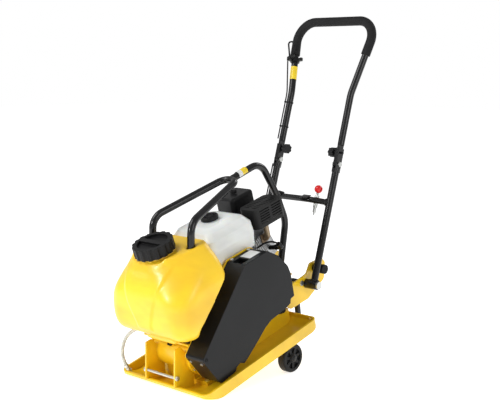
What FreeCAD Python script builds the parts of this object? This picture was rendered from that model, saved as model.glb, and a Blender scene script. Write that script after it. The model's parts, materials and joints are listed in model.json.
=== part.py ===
import FreeCAD, Part
import math
import os

# Walk-behind plate compactor. Millimetres and degrees.
# The machine is drawn on its own base plate: X across (drive side +X), Y to the
# rear, Z up from the plate's flat underside, origin at the plate's middle.
# At the end everything is pitched nose-down onto its transport wheels and set
# on the ground, with the origin under the middle of the whole machine.

V = FreeCAD.Vector

# ---- base plate ----
PLATE_HALF = 210.0
PLATE_FRONT = -284.0
PLATE_REAR = 285.0
PLATE_TOP = 40.0
PLATE_WALL = 8.0
PLATE_CORNER = 28.0
FRONT_LIP_Z = 28.0
REAR_LIP_Z = 18.0
FRONT_RAMP = 60.0
FRONT_BEND_R = 90.0
REAR_RAMP = 32.0
REAR_BEND_R = 50.0
RIM_RISE = 30.0

# ---- pedestal and rubber mounts between plate and deck ----
PEDESTAL_HALF = 91.0
PEDESTAL_FRONT = -75.0
PEDESTAL_REAR = 268.0
PEDESTAL_TOP = 62.0
SHEET = 6.0
MOUNT_X = 80.0
MOUNT_YS = (-45.0, 235.0)
MOUNT_R = 21.0
MOUNT_BOLT_R = 5.0

# ---- exciter ----
EXC_Y = -165.0
EXC_Z = 100.0
EXC_R = 58.0
EXC_BORE_R = 44.0
EXC_HALF = 88.0
FOOT_HALF = 122.0
FOOT_FRONT = -195.0
FOOT_REAR = -112.0
FOOT_THICK = 12.0
COVER_R = 62.0
COVER_THICK = 8.0
SHAFT_R = 15.0
BEARING_R = 31.0
BEARING_W = 16.0
WEIGHT_R = 39.0
WEIGHT_HALF = 52.0
EXC_PULLEY_R = 42.0

# ---- front ribs and tie rod ----
RIB_X = 70.0
RIB_THICK = 6.0
RIB_TOP = 160.0
TIE_ROD_R = 5.0
TIE_ROD_Y = -274.0
TIE_ROD_Z = 68.0

# ---- deck ----
DECK_TOP = 148.0
DECK_HALF = 107.7
DECK_FRONT = -95.0
DECK_REAR = 318.0
DECK_FLANGE_Z = 112.0
SHELF_TOP = 172.0
SHELF_FRONT = -225.0
TONGUE_HALF = 45.0
TONGUE_REAR = 366.0

# ---- drive ----
CRANK_Y = 110.0
CRANK_Z = 254.0
CLUTCH_PULLEY_R = 38.0
CLUTCH_R = 55.0
PULLEY_X0 = 122.0
PULLEY_W = 22.0
BELT_W = 11.0
BELT_H = 9.0
GROOVE_CLEAR = 0.5

# ---- belt guard ----
GUARD_IN_X = 111.0
GUARD_OUT_X = 192.0
GUARD_WALL = 3.0
BACK_PLATE = 3.0
BACK_PLATE_RISE = 5.0
GUARD_OUTLINE = [(-250, 145), (12, 362), (124, 362), (168, 327), (205, 272), (212, 240), (208, 157),
                 (189, 155), (183, 140), (150, 133), (78, 128), (45, 116), (-7, 85), (-78, 47),
                 (-98, 58), (-116, 52), (-124, 40), (-198, 36)]
GUARD_RADII = [12, 14, 16, 30, 34, 30, 5, 4, 6, 30, 30, 40, 60, 5, 5, 8, 12, 14]

# ---- engine ----
FUEL_TANK_Z = 330.0
FUEL_NECK_Y = 75.0
BORE_SLOPE = 20.0
SWITCH = (-49, 12, 283)
SILENCER = (18, 88, 206, 338, 400, 456)

# ---- handle ----
HANDLE_X = 142.0
HANDLE_Y = 366.0
HANDLE_Z = 117.0
HANDLE_LEAN = 32.5
TUBE_R = 13.0
TUBE_WALL = 2.0
CROSSBAR_S = 299.0
CROSSBAR_BOW = 34.0
FOLD_S = 441.0
KNOB_S = 484.0
TUBE_START_S = 512.0
BEND_S = 702.0
GRIP_CORNER_X = 190.0
GRIP_CORNER_Y = 908.0
GRIP_CORNER_Z = 938.0
GRIP_CORNER_R = 72.0
KINK_R = 160.0
FOAM_R = 17.0
FOAM_SHARE = 0.53
SLEEVE_R = 17.0
SLEEVE_OUT_X = 160.0
PIVOT_BOLT_R = 8.0
RUN_CLEAR = 0.1
GAP = 0.3

# ---- cage ----
CAGE_X = 92.0
CAGE_R = 12.5
CAGE_TOP_Y = -87.0
CAGE_TOP_Z = 538.0
CAGE_FOOT_Y = -194.0
APEX_Y = 205.0
APEX_Z = 568.0
APEX_HALF = 30.0
SPINE = [(205, 568), (362, 575), (411, 436), (432, 322), (353, 153)]
SPINE_RADII = [62, 300, 90]

# ---- water tank ----
TANK_WALL = 4.0
TANK_SECTIONS = [(208, 166, -268, 44), (230, 180, -287, 54), (290, 184, -292, 64),
                 (345, 182, -286, 84), (395, 170, -262, 120), (438, 142, -246, 132), (466, 118, -236, 114)]
TANK_REAR_Y = -50.0
TANK_REAR_R = 35.0
SUMP_HALF = 76.0
SUMP_FRONT = -248.0
SUMP_REAR = -184.0
SLANT_LOW = (-218.0, 232.0)
SLANT_HIGH = (-64.0, 357.0)
FILLER_Y = -180.0
FILLER_Z = 457.0
FILLER_LEAN = 5.0
NECK_R = 56.0
NECK_H = 28.0
CAP_R = 68.0
CAP_H = 38.0
CAP_GAP = 10.0
LEG_CLEAR = 2.5

# ---- wheels ----
WHEEL_PIVOT_Y = 341.0
WHEEL_PIVOT_Z = 129.0
WHEEL_ROD_R = 8.0
WHEEL_TUBE_R = 11.0
WHEEL_LEG_X = 78.0
WHEEL_Y = 145.0
WHEEL_Z = -54.0
WHEEL_PATH = [(WHEEL_PIVOT_Y, WHEEL_PIVOT_Z), (320, -27), (172, -46), (WHEEL_Y, WHEEL_Z)]
WHEEL_RADII = [34, 26]
WHEEL_R = 50.0
WHEEL_W = 31.0
WHEEL_MID_X = 177.0
AXLE_R = 8.0

# ---- water hose ----
HOSE_R = 6.0
HOSE_ROUTE = [(-84, -222, 197), (-124, -233, 193), (-166, -255, 166), (-187, -270, 122),
              (-190, -276, 78), (-182, -272, 47)]

# ---- throttle cable along the left-hand tubes ----
CABLE_R = 2.5


# ------------------------------------------------------------------ helpers
def box(x0, x1, y0, y1, z0, z1):
    return Part.makeBox(x1 - x0, y1 - y0, z1 - z0, V(x0, y0, z0))


def cyl_x(x0, x1, y, z, r):
    return Part.makeCylinder(r, x1 - x0, V(x0, y, z), V(1, 0, 0))


def cyl_z(x, y, z0, z1, r):
    return Part.makeCylinder(r, z1 - z0, V(x, y, z0), V(0, 0, 1))


def rod_between(p, q, r):
    return Part.makeCylinder(r, (q - p).Length, p, q - p)


def round_corner(before, corner, after, radius):
    """Tangent points and middle of the arc that rounds a corner."""
    back = (before - corner).normalize()
    on = (after - corner).normalize()
    half_turn = (math.pi - back.getAngle(on)) / 2
    reach = radius * math.tan(half_turn)
    start = corner + back * reach
    end = corner + on * reach
    centre = corner + (back + on).normalize() * (radius / math.cos(half_turn))
    middle = centre + (corner - centre).normalize() * radius
    return start, middle, end


def line_edge(p, q):
    return Part.LineSegment(p, q).toShape()


def bent_path(points, radii):
    """Open wire of straight runs joined by tangent arcs."""
    edges = []
    at = points[0]
    for before, corner, after, radius in zip(points, points[1:], points[2:], radii):
        start, middle, end = round_corner(before, corner, after, radius)
        edges.append(line_edge(at, start))
        edges.append(Part.Arc(start, middle, end).toShape())
        at = end
    edges.append(line_edge(at, points[-1]))
    return Part.Wire(edges)


def closed_outline(points, radii):
    """Closed wire whose corners are rounded."""
    count = len(points)
    corners = [round_corner(points[i - 1], points[i], points[(i + 1) % count], radii[i])
               for i in range(count)]
    edges = []
    for i, (start, middle, end) in enumerate(corners):
        edges.append(Part.Arc(start, middle, end).toShape())
        edges.append(line_edge(end, corners[(i + 1) % count][0]))
    return Part.Wire(edges)


def side_plate(outline, x0, x1, radii=None):
    """Plate seen from the side: an outline of (y, z) carried from x0 to x1."""
    points = [V(x0, y, z) for y, z in outline]
    if radii is None:
        wire = Part.makePolygon(points + points[:1])
    else:
        wire = closed_outline(points, radii)
    return Part.Face(wire).extrude(V(x1 - x0, 0, 0))


def plan_block(x0, x1, y0, y1, z0, z1, r):
    """Upright block with four rounded corners in plan."""
    points = [V(x0, y0, z0), V(x1, y0, z0), V(x1, y1, z0), V(x0, y1, z0)]
    return Part.Face(closed_outline(points, [r] * 4)).extrude(V(0, 0, z1 - z0))


def sweep(path, r):
    start = path.Edges[0]
    first = start.valueAt(start.FirstParameter)
    circle = Part.Circle(first, start.tangentAt(start.FirstParameter), r)
    return path.makePipeShell([Part.Wire(circle.toShape())], True, True)


def tube(points, radii, r_out, wall=0.0):
    path = bent_path(points, radii)
    solid = sweep(path, r_out)
    if wall:
        solid = solid.cut(sweep(path, r_out - wall))
    return solid


def mirrored(shape):
    return shape.mirror(V(0, 0, 0), V(1, 0, 0))


def pair(shape):
    """The piece and its mirror twin on the other side."""
    return [shape, mirrored(shape)]


def join(shapes):
    return shapes[0].fuse(shapes[1:]).removeSplitter()


def largest(shape):
    """The one solid that matters after a cut that leaves a crumb."""
    return max(shape.Solids, key=lambda solid: solid.Volume)


def hexagon(p, axis, across, height):
    """Hexagon head standing on p along axis."""
    corner_r = across / math.sqrt(3)
    corners = [V(corner_r * math.cos(a), corner_r * math.sin(a), 0)
               for a in (math.radians(60 * k) for k in range(7))]
    prism = Part.Face(Part.makePolygon(corners)).extrude(V(0, 0, height))
    prism.Placement = FreeCAD.Placement(p, FreeCAD.Rotation(V(0, 0, 1), axis))
    return prism


def stand_along(shape, origin, axis, across):
    """Turn a piece drawn on Z so that Z lies along axis and X along across, at origin."""
    z = V(axis).normalize()
    y = z.cross(V(across)).normalize()
    x = y.cross(z)
    rows = [x.x, y.x, z.x, 0, x.y, y.y, z.y, 0, x.z, y.z, z.z, 0, 0, 0, 0, 1]
    turn = FreeCAD.Rotation(FreeCAD.Matrix(*rows))
    placed = shape.copy()
    placed.Placement = FreeCAD.Placement(V(origin), turn).multiply(placed.Placement)
    return placed


def on_handle(s, x=HANDLE_X, forward=0.0):
    """Point at distance s up the straight part of the handle."""
    lean = math.radians(HANDLE_LEAN)
    y = HANDLE_Y + s * math.sin(lean) - forward * math.cos(lean)
    z = HANDLE_Z + s * math.cos(lean) + forward * math.sin(lean)
    return V(x, y, z)


def up_handle():
    lean = math.radians(HANDLE_LEAN)
    return V(0, math.sin(lean), math.cos(lean))


# ------------------------------------------------------------- lower machine
def plate_profile(lift, inset):
    """Side outline of the tray: lift raises the floor, inset draws the ends in."""
    front = PLATE_FRONT + inset
    rear = PLATE_REAR - inset
    top = PLATE_TOP + (RIM_RISE if lift else 0)
    return [(front, top), (front, FRONT_LIP_Z + lift * 0.75), (PLATE_FRONT + FRONT_RAMP, lift),
            (PLATE_REAR - REAR_RAMP, lift), (rear, REAR_LIP_Z + lift), (rear, top)]


def base_plate():
    wall = PLATE_WALL
    outer = side_plate(plate_profile(0, 0), -PLATE_HALF, PLATE_HALF,
                       [3, 5, FRONT_BEND_R, REAR_BEND_R, 6, 3])
    outer = outer.common(plan_block(-PLATE_HALF, PLATE_HALF, PLATE_FRONT, PLATE_REAR,
                                    -1, PLATE_TOP + 1, PLATE_CORNER))
    hollow = side_plate(plate_profile(wall, wall), wall - PLATE_HALF, PLATE_HALF - wall,
                        [3, 4, FRONT_BEND_R - wall, REAR_BEND_R - wall, 5, 3])
    hollow = hollow.common(plan_block(wall - PLATE_HALF, PLATE_HALF - wall, PLATE_FRONT + wall,
                                      PLATE_REAR - wall, 1, PLATE_TOP + RIM_RISE, PLATE_CORNER - wall))
    drain = Part.makeCylinder(5, 3 * wall, V(PLATE_HALF - 32, PLATE_REAR - 2 * wall, 31), V(0, 1, 0))
    return outer.cut(hollow).cut(drain)


def shock_pedestal():
    outer = box(-PEDESTAL_HALF, PEDESTAL_HALF, PEDESTAL_FRONT, PEDESTAL_REAR, PLATE_WALL, PEDESTAL_TOP)
    inner = box(SHEET - PEDESTAL_HALF, PEDESTAL_HALF - SHEET, PEDESTAL_FRONT + SHEET,
                PEDESTAL_REAR - SHEET, PLATE_WALL - 1, PEDESTAL_TOP - SHEET)
    channel = outer.cut(inner)
    for x in (-MOUNT_X, MOUNT_X):
        for y in MOUNT_YS:
            channel = channel.cut(cyl_z(x, y, PEDESTAL_TOP - 2 * SHEET, PEDESTAL_TOP + 1,
                                        MOUNT_BOLT_R + GAP))
    return channel


def shock_mounts():
    mounts = []
    for x in (-MOUNT_X, MOUNT_X):
        for y in MOUNT_YS:
            body = cyl_z(x, y, PEDESTAL_TOP, DECK_FLANGE_Z, MOUNT_R)
            waist = Part.makeTorus(MOUNT_R + 12, 15, V(x, y, (PEDESTAL_TOP + DECK_FLANGE_Z) / 2))
            stud = cyl_z(x, y, DECK_FLANGE_Z - 1, DECK_FLANGE_Z + SHEET + 9, MOUNT_BOLT_R)
            mounts.append(body.cut(waist).fuse(stud))
    return mounts


def mount_nuts():
    nuts = []
    for x in (-MOUNT_X, MOUNT_X):
        for y in MOUNT_YS:
            nut = hexagon(V(x, y, DECK_FLANGE_Z + SHEET), V(0, 0, 1), 17, 8)
            nuts.append(nut.cut(cyl_z(x, y, DECK_FLANGE_Z, DECK_TOP, MOUNT_BOLT_R + 0.05)))
    return nuts


def foot_bolt_places():
    return [(x, y) for x in (-FOOT_HALF + 12, FOOT_HALF - 12) for y in (FOOT_FRONT + 13, FOOT_REAR - 13)]


def exciter_housing():
    barrel = cyl_x(-EXC_HALF, EXC_HALF, EXC_Y, EXC_Z, EXC_R)
    foot = box(-FOOT_HALF, FOOT_HALF, FOOT_FRONT, FOOT_REAR, PLATE_WALL, PLATE_WALL + FOOT_THICK)
    inner = RIB_X - RIB_THICK
    saddle = box(-inner, inner, FOOT_FRONT, FOOT_REAR, PLATE_WALL, EXC_Z)
    boss = rod_between(exciter_plug_point(EXC_R - 8), exciter_plug_point(EXC_R + 5), 12)
    body = join([barrel, foot, saddle, boss])
    body = body.cut(cyl_x(-EXC_HALF - 1, EXC_HALF + 1, EXC_Y, EXC_Z, EXC_BORE_R))
    for x, y in foot_bolt_places():
        body = body.cut(cyl_z(x, y, 0, 40, MOUNT_BOLT_R + 0.2))
    return body


def exciter_plug_point(reach):
    slope = math.radians(48)
    return V(0, EXC_Y - reach * math.cos(slope), EXC_Z + reach * math.sin(slope))


def oil_plug():
    return hexagon(exciter_plug_point(EXC_R + 5), exciter_plug_point(10) - exciter_plug_point(0), 18, 8)


def exciter_covers():
    x0 = EXC_HALF
    disc = cyl_x(x0, x0 + COVER_THICK, EXC_Y, EXC_Z, COVER_R)
    spigot = cyl_x(x0 - 18, x0, EXC_Y, EXC_Z, EXC_BORE_R - 0.05)
    cover = disc.fuse(spigot).cut(cyl_x(x0 - 30, x0 + 1, EXC_Y, EXC_Z, BEARING_R + 0.02))
    cover = cover.cut(cyl_x(x0 - 30, x0 + 30, EXC_Y, EXC_Z, SHAFT_R + 2))
    return pair(cover)


def exciter_cover_bolts():
    bolts = []
    for k in range(6):
        a = math.radians(60 * k + 30)
        p = V(EXC_HALF + COVER_THICK, EXC_Y + 53 * math.cos(a), EXC_Z + 53 * math.sin(a))
        bolts += pair(hexagon(p, V(1, 0, 0), 10, 3.5))
    for x, y in foot_bolt_places():
        top = PLATE_WALL + FOOT_THICK
        shank = cyl_z(x, y, PLATE_WALL, top, MOUNT_BOLT_R)
        bolts.append(hexagon(V(x, y, top), V(0, 0, 1), 15, 7).fuse(shank))
    return bolts


def exciter_bearings():
    x0 = EXC_HALF - BEARING_W
    ring = cyl_x(x0, x0 + BEARING_W, EXC_Y, EXC_Z, BEARING_R)
    return pair(ring.cut(cyl_x(x0 - 1, x0 + BEARING_W + 1, EXC_Y, EXC_Z, SHAFT_R + 0.05)))


def exciter_shaft():
    shaft = cyl_x(-EXC_HALF - 2, PULLEY_X0 + PULLEY_W + 6, EXC_Y, EXC_Z, SHAFT_R)
    disc = cyl_x(-WEIGHT_HALF, WEIGHT_HALF, EXC_Y, EXC_Z, WEIGHT_R)
    lower = box(-WEIGHT_HALF, WEIGHT_HALF, EXC_Y - 60, EXC_Y + 60, EXC_Z - 60, EXC_Z - 4)
    return join([shaft, disc.common(lower)])


def grooved_pulley(y, z, r, bore_r, rim_r=None):
    x1 = PULLEY_X0 + PULLEY_W
    body = cyl_x(PULLEY_X0, x1, y, z, r + BELT_H / 2 + 3)
    middle = (PULLEY_X0 + x1) / 2
    half = BELT_W / 2 + GROOVE_CLEAR
    groove = cyl_x(middle - half, middle + half, y, z, r + 30)
    groove = groove.cut(cyl_x(middle - half, middle + half, y, z, r - BELT_H / 2 - GROOVE_CLEAR))
    body = body.cut(groove)
    if rim_r:
        body = body.fuse(cyl_x(x1, x1 + 26, y, z, rim_r))
    return body.cut(cyl_x(PULLEY_X0 - 1, x1 + 30, y, z, bore_r))


def exciter_pulley():
    return grooved_pulley(EXC_Y, EXC_Z, EXC_PULLEY_R, SHAFT_R + 0.02)


def belt_loop(swell):
    """Flat region inside a belt running round both pulleys."""
    a = V(0, EXC_Y, EXC_Z)
    b = V(0, CRANK_Y, CRANK_Z)
    ra = EXC_PULLEY_R + swell
    rb = CLUTCH_PULLEY_R + swell
    along = V(b - a).normalize()
    side = V(0, -along.z, along.y)
    tilt = math.asin((ra - rb) / (b - a).Length)
    up = side * math.cos(tilt) + along * math.sin(tilt)
    down = side * -math.cos(tilt) + along * math.sin(tilt)
    edges = [Part.Arc(a + up * ra, a - along * ra, a + down * ra).toShape(),
             line_edge(a + down * ra, b + down * rb),
             Part.Arc(b + down * rb, b + along * rb, b + up * rb).toShape(),
             line_edge(b + up * rb, a + up * ra)]
    return Part.Face(Part.Wire(edges))


def drive_belt():
    x0 = PULLEY_X0 + (PULLEY_W - BELT_W) / 2
    width = V(BELT_W, 0, 0)
    loop = belt_loop(BELT_H / 2).extrude(width).cut(belt_loop(-BELT_H / 2).extrude(width))
    return loop.translated(V(x0, 0, 0))


def rib_front_y(z):
    """Front edge of a rib: leans back from the plate's lip."""
    return -290 + (z - PLATE_TOP) * 0.30


def front_ribs(plate):
    outline = [(rib_front_y(PLATE_TOP), PLATE_TOP + GAP), (rib_front_y(RIB_TOP), RIB_TOP), (-230, RIB_TOP),
               (-200, 112), (-200, 60), (-209, 6), (-226, 6), (-262, 24), (-274, PLATE_TOP + GAP)]
    rib = side_plate(outline, RIB_X - RIB_THICK / 2, RIB_X + RIB_THICK / 2)
    rib = rib.cut(cyl_x(0, 100, EXC_Y, EXC_Z, EXC_R + GAP)).cut(plate)
    rib = rib.cut(cyl_x(0, 100, TIE_ROD_Y, TIE_ROD_Z, TIE_ROD_R + 0.2))
    rib = rib.cut(box(0, 100, FOOT_FRONT - GAP, 0, 0, EXC_Z - 30))
    return pair(rib)


def front_tie_rod():
    y = TIE_ROD_Y
    outer = RIB_X + RIB_THICK / 2
    rod = cyl_x(-outer - 10, outer + 10, y, TIE_ROD_Z, TIE_ROD_R)
    nuts = [hexagon(V(outer, y, TIE_ROD_Z), V(1, 0, 0), 15, 7),
            hexagon(V(-outer, y, TIE_ROD_Z), V(-1, 0, 0), 15, 7)]
    return join([rod] + nuts)


# --------------------------------------------------------------------- deck
def deck_cheek():
    """Side member with the ear that carries the handle."""
    outline = [(DECK_FRONT, DECK_FLANGE_Z), (226, DECK_FLANGE_Z), (262, 62), (362, 58), (462, 92),
               (484, 150), (470, 172), (404, 180), (376, 150), (318, DECK_TOP), (DECK_FRONT, DECK_TOP)]
    radii = [2, 30, 20, 30, 16, 14, 14, 12, 20, 20, 2]
    return side_plate(outline, DECK_HALF - SHEET, DECK_HALF, radii)


def engine_deck():
    top = box(-DECK_HALF, DECK_HALF, DECK_FRONT, DECK_REAR - 8, DECK_TOP - SHEET, DECK_TOP)
    tongue = box(-TONGUE_HALF, TONGUE_HALF, DECK_REAR - 20, TONGUE_REAR, DECK_TOP - SHEET, DECK_TOP)
    web = box(-DECK_HALF, DECK_HALF, DECK_FRONT, DECK_FRONT + SHEET, DECK_TOP - SHEET, SHELF_TOP)
    shelf = box(-DECK_HALF, DECK_HALF, SHELF_FRONT, DECK_FRONT + SHEET, SHELF_TOP - SHEET, SHELF_TOP)
    pieces = [top, tongue, web, shelf]
    for cheek in pair(deck_cheek()):
        pieces.append(cheek)
    for flange in pair(box(58, DECK_HALF, DECK_FRONT, 262, DECK_FLANGE_Z, DECK_FLANGE_Z + SHEET)):
        pieces.append(flange)
    deck = join(pieces)
    for x in (-MOUNT_X, MOUNT_X):
        for y in MOUNT_YS:
            deck = deck.cut(cyl_z(x, y, DECK_FLANGE_Z - 1, DECK_FLANGE_Z + SHEET + 1, MOUNT_BOLT_R + 0.1))
    deck = deck.cut(cyl_x(-130, 130, HANDLE_Y, HANDLE_Z, PIVOT_BOLT_R + 0.1))
    deck = deck.cut(cyl_x(-130, 130, WHEEL_PIVOT_Y, WHEEL_PIVOT_Z, WHEEL_ROD_R + 0.1))
    return deck


def handle_stops():
    """Rubber buffers behind the handle legs, on the ears."""
    y, z = stop_place()
    return pair(cyl_x(DECK_HALF, SLEEVE_OUT_X - 4, y, z, 17))


def stop_place():
    lean = math.radians(HANDLE_LEAN)
    away = TUBE_R + 17 + GAP
    s = 62.0
    return (HANDLE_Y + s * math.sin(lean) + away * math.cos(lean),
            HANDLE_Z + s * math.cos(lean) - away * math.sin(lean))


# ------------------------------------------------------------------- engine
def crankcase():
    body = plan_block(-82, 84, 28, 196, DECK_TOP + 10, FUEL_TANK_Z - GAP, 22)
    feet = [box(-70, 70, 14, 210, DECK_TOP, DECK_TOP + 10)]
    nose = cyl_x(84, 103, CRANK_Y, CRANK_Z, 44)
    stub = cyl_x(-100, -82, CRANK_Y, CRANK_Z, 60)
    case = join([body, nose, stub] + feet)
    return case.cut(cyl_x(-98, 110, CRANK_Y, CRANK_Z, SHAFT_R + 0.08))


def cylinder_frame(shape):
    """Tip a piece drawn pointing along +Y from the crank to the bore's slope."""
    placed = shape.copy()
    placed.rotate(V(0, CRANK_Y, CRANK_Z), V(1, 0, 0), BORE_SLOPE)
    return placed


def cylinder_block():
    core = box(-42, 50, CRANK_Y + 78, CRANK_Y + 150, CRANK_Z - 44, CRANK_Z + 44)
    fins = [box(-54, 55, CRANK_Y + y, CRANK_Y + y + 3, CRANK_Z - 56, CRANK_Z + 50)
            for y in range(100, 147, 9)]
    block = cylinder_frame(join([core] + fins))
    return block.cut(crankcase_envelope())


def crankcase_envelope():
    return plan_block(-82 - GAP, 84 + GAP, 28, 196 + GAP, DECK_TOP, FUEL_TANK_Z, 22)


def cylinder_head():
    core = box(-46, 54, CRANK_Y + 150 + GAP, CRANK_Y + 176, CRANK_Z - 48, CRANK_Z + 44)
    fins = [box(x, x + 3, CRANK_Y + 152, CRANK_Y + 188, CRANK_Z - 56, CRANK_Z + 48)
            for x in (-48, -40, 44, 53)]
    return cylinder_frame(join([core] + fins))


def rocker_cover():
    cover = box(-34, 42, CRANK_Y + 176 + GAP, CRANK_Y + 208, CRANK_Z - 38, CRANK_Z + 34)
    edges = [e for e in cover.Edges if e.CenterOfMass.y > CRANK_Y + 207]
    return cylinder_frame(cover.makeFillet(7, edges))


def spark_plug():
    plug = Part.makeCylinder(7, 34, V(66, CRANK_Y + 168, CRANK_Z - 20), V(1, 0.35, 0))
    boot = Part.makeCylinder(10, 22, V(76, CRANK_Y + 171.5, CRANK_Z - 20), V(1, 0.35, 0))
    seat = Part.makeCylinder(8, 18, V(54 + GAP, CRANK_Y + 165, CRANK_Z - 20), V(1, 0.25, 0))
    return cylinder_frame(join([plug, boot, seat]).cut(box(-100, 56.2, 0, 400, 0, 400)))


def crankshaft():
    return cyl_x(-95, PULLEY_X0 + PULLEY_W + 30, CRANK_Y, CRANK_Z, SHAFT_R)


def clutch_drum():
    return grooved_pulley(CRANK_Y, CRANK_Z, CLUTCH_PULLEY_R, SHAFT_R + 0.02, CLUTCH_R)


def fuel_tank():
    x0, x1, y0, y1 = -106, 98, -34, 186
    sections = [(FUEL_TANK_Z, 26), (352, 4), (400, 0), (438, 3), (462, 20), (472, 44)]
    wires = []
    for z, inset in sections:
        points = [V(x0 + inset, y0 + inset, z), V(x1 - inset, y0 + inset, z),
                  V(x1 - inset, y1 - inset, z), V(x0 + inset, y1 - inset, z)]
        wires.append(closed_outline(points, [26] * 4))
    shell = Part.makeLoft(wires, True, True)
    neck = cyl_z(0, FUEL_NECK_Y, 465, 478, 26)
    mouth = cyl_z(0, FUEL_NECK_Y, 440, 480, 21)
    inner = plan_block(x0 + 9, x1 - 9, y0 + 9, y1 - 9, 354, 442, 18)
    return shell.fuse(neck).cut(inner).cut(mouth)


def fuel_cap():
    cap = cyl_z(0, FUEL_NECK_Y, 474, 486, 31).cut(cyl_z(0, FUEL_NECK_Y, 460, 481, 26 + GAP))
    grip = box(-20, 20, FUEL_NECK_Y - 5, FUEL_NECK_Y + 5, 485, 492)
    return cap.fuse(grip)


def air_cleaner():
    """Base, cover and the wing nut that holds the cover down."""
    base = plan_block(-118, -22, 214, 330, 398, 424, 14)
    cover = plan_block(-116, -24, 216, 328, 424 + GAP, 486, 16)
    top = [e for e in cover.Edges if e.CenterOfMass.z > 485]
    nut = cyl_z(-70, 272, 486, 494, 8).fuse(box(-84, -56, 269, 275, 488, 500))
    return [base, cover.makeFillet(10, top), nut]


def carburettor():
    body = box(-92, -58, 236, 276, 340, 390)
    neck = cyl_z(-75, 256, 390, 398 - GAP, 18)
    bowl = cyl_z(-75, 256, 316, 340, 17)
    runner = box(-58, -46, 240, 270, 348, 380)
    return join([body, neck, bowl, runner]).cut(cylinder_head())


def muffler():
    x0, x1, y0, y1, z0, z1 = SILENCER
    body = plan_block(x0, x1, y0, y1, z0, z1, 18)
    edges = [e for e in body.Edges if e.CenterOfMass.z > z1 - 1 or e.CenterOfMass.z < z0 + 1]
    return body.makeFillet(8, edges)


def muffler_guard():
    x0, x1, y0, y1, z0, z1 = SILENCER
    clear, sheet = 4.0, 2.5
    outer = plan_block(x0 - clear - sheet, x1 + clear + sheet, y0 - clear - sheet, y1 + clear + sheet,
                       z0 - 8, z1 + clear + sheet, 20)
    inner = plan_block(x0 - clear, x1 + clear, y0 - clear, y1 + clear, z0 - 9, z1 + clear, 18)
    lugs = [box(x1, x1 + clear + 1, y, y + 12, z0 + 20, z0 + 32) for y in (y0 + 22, y1 - 34)]
    guard = join([outer.cut(inner)] + lugs)
    slots = [box(x1, x1 + 20, y, y + 48, z, z + 4)
             for y in (y0 + 12, y0 + 72) for z in range(z0 + 6, z1 - 2, 9)]
    slots += [box(x, x + 22, y, y + 4, z1, z1 + 20)
              for x in (x0 + 6, x0 + 40) for y in range(y0 + 14, y1 - 12, 12)]
    return guard.cut(Part.makeCompound(slots))


def exhaust_pipe():
    """Curved pipe from the head's port up into the silencer."""
    port = V(56, 253, 338)
    pipe = tube([port, port + V(20, 0, 0), V(76, 253, SILENCER[4])], [16], 10, 2)
    flange = box(56, 60, 237, 269, 322, 354)
    return pipe.fuse(flange.cut(cyl_x(50, 70, 253, 338, 8)))


def silencer_bracket():
    """Stay that carries the silencer on the cylinder head."""
    leg = box(43, 54, 276, 282, 350, 400)
    return leg.cut(cylinder_head())


def recoil_housing():
    cup = cyl_x(-146, -100, CRANK_Y, CRANK_Z, 88)
    front = [e for e in cup.Edges if e.CenterOfMass.x < -145]
    cup = cup.makeFillet(12, front)
    cup = cup.cut(cyl_x(-140, -99, CRANK_Y, CRANK_Z, 83))
    slots = []
    for k in range(10):
        slot = box(-150, -130, CRANK_Y + 34, CRANK_Y + 62, CRANK_Z - 4, CRANK_Z + 4)
        slots.append(slot.rotate(V(0, CRANK_Y, CRANK_Z), V(1, 0, 0), 36 * k + 12))
    spider = cyl_x(-100, -97, CRANK_Y, CRANK_Z, 88).cut(cyl_x(-102, -96, CRANK_Y, CRANK_Z, 60))
    exit_hole = Part.makeCylinder(3.2, 40, recoil_exit() - recoil_pull() * 16, recoil_pull())
    return cup.fuse(spider).cut(Part.makeCompound(slots)).cut(exit_hole)


def recoil_exit():
    return V(-124, CRANK_Y + 36, CRANK_Z + 84)


def recoil_pull():
    return V(0, 0.2, 1).normalize()


def recoil_grip():
    start = recoil_exit() - recoil_pull() * 1.4
    shaft = rod_between(start, start + recoil_pull() * 16, 7)
    middle = start + recoil_pull() * 20
    bar = rod_between(middle - V(0, 26, -8), middle + V(0, 26, -8), 9)
    return shaft.fuse(bar).cut(rod_between(start - recoil_pull(), start + recoil_pull() * 12, 2.6))


def recoil_rope():
    start = recoil_exit() - recoil_pull() * 12
    return rod_between(start, start + recoil_pull() * 22, 2.4)


def engine_switch():
    """On and off switch on the front of the crankcase: its body and its turning knob."""
    x, y, z = SWITCH
    body = box(x - 15, x + 15, y, 28 - GAP, z - 15, z + 15)
    body = body.cut(Part.makeCylinder(10 + GAP, 8, V(x, y + 7, z), V(0, -1, 0)))
    knob = Part.makeCylinder(10, 12, V(x, y + 6, z), V(0, -1, 0))
    return body, knob.fuse(box(x - 3, x + 3, y - 11, y - 5, z - 8, z + 8))


# -------------------------------------------------------------------- guard
def guard_prism(x0, x1, shrink=0.0):
    face = Part.Face(closed_outline([V(x0, y, z) for y, z in GUARD_OUTLINE], GUARD_RADII))
    if shrink:
        face = Part.Face(face.makeOffset2D(-shrink).OuterWire)
    return face.extrude(V(x1 - x0, 0, 0))


def pocket(swell):
    """Tool recess in the front end of the guard's top."""
    return box(132 - swell, 176 + swell, 14 - swell, 50 + swell, 346 - swell, 400)


def belt_guard():
    outer = guard_prism(GUARD_IN_X, GUARD_OUT_X).cut(pocket(0))
    inner = guard_prism(GUARD_IN_X - 1, GUARD_OUT_X - GUARD_WALL, GUARD_WALL).cut(pocket(GUARD_WALL))
    return outer.cut(inner)


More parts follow.
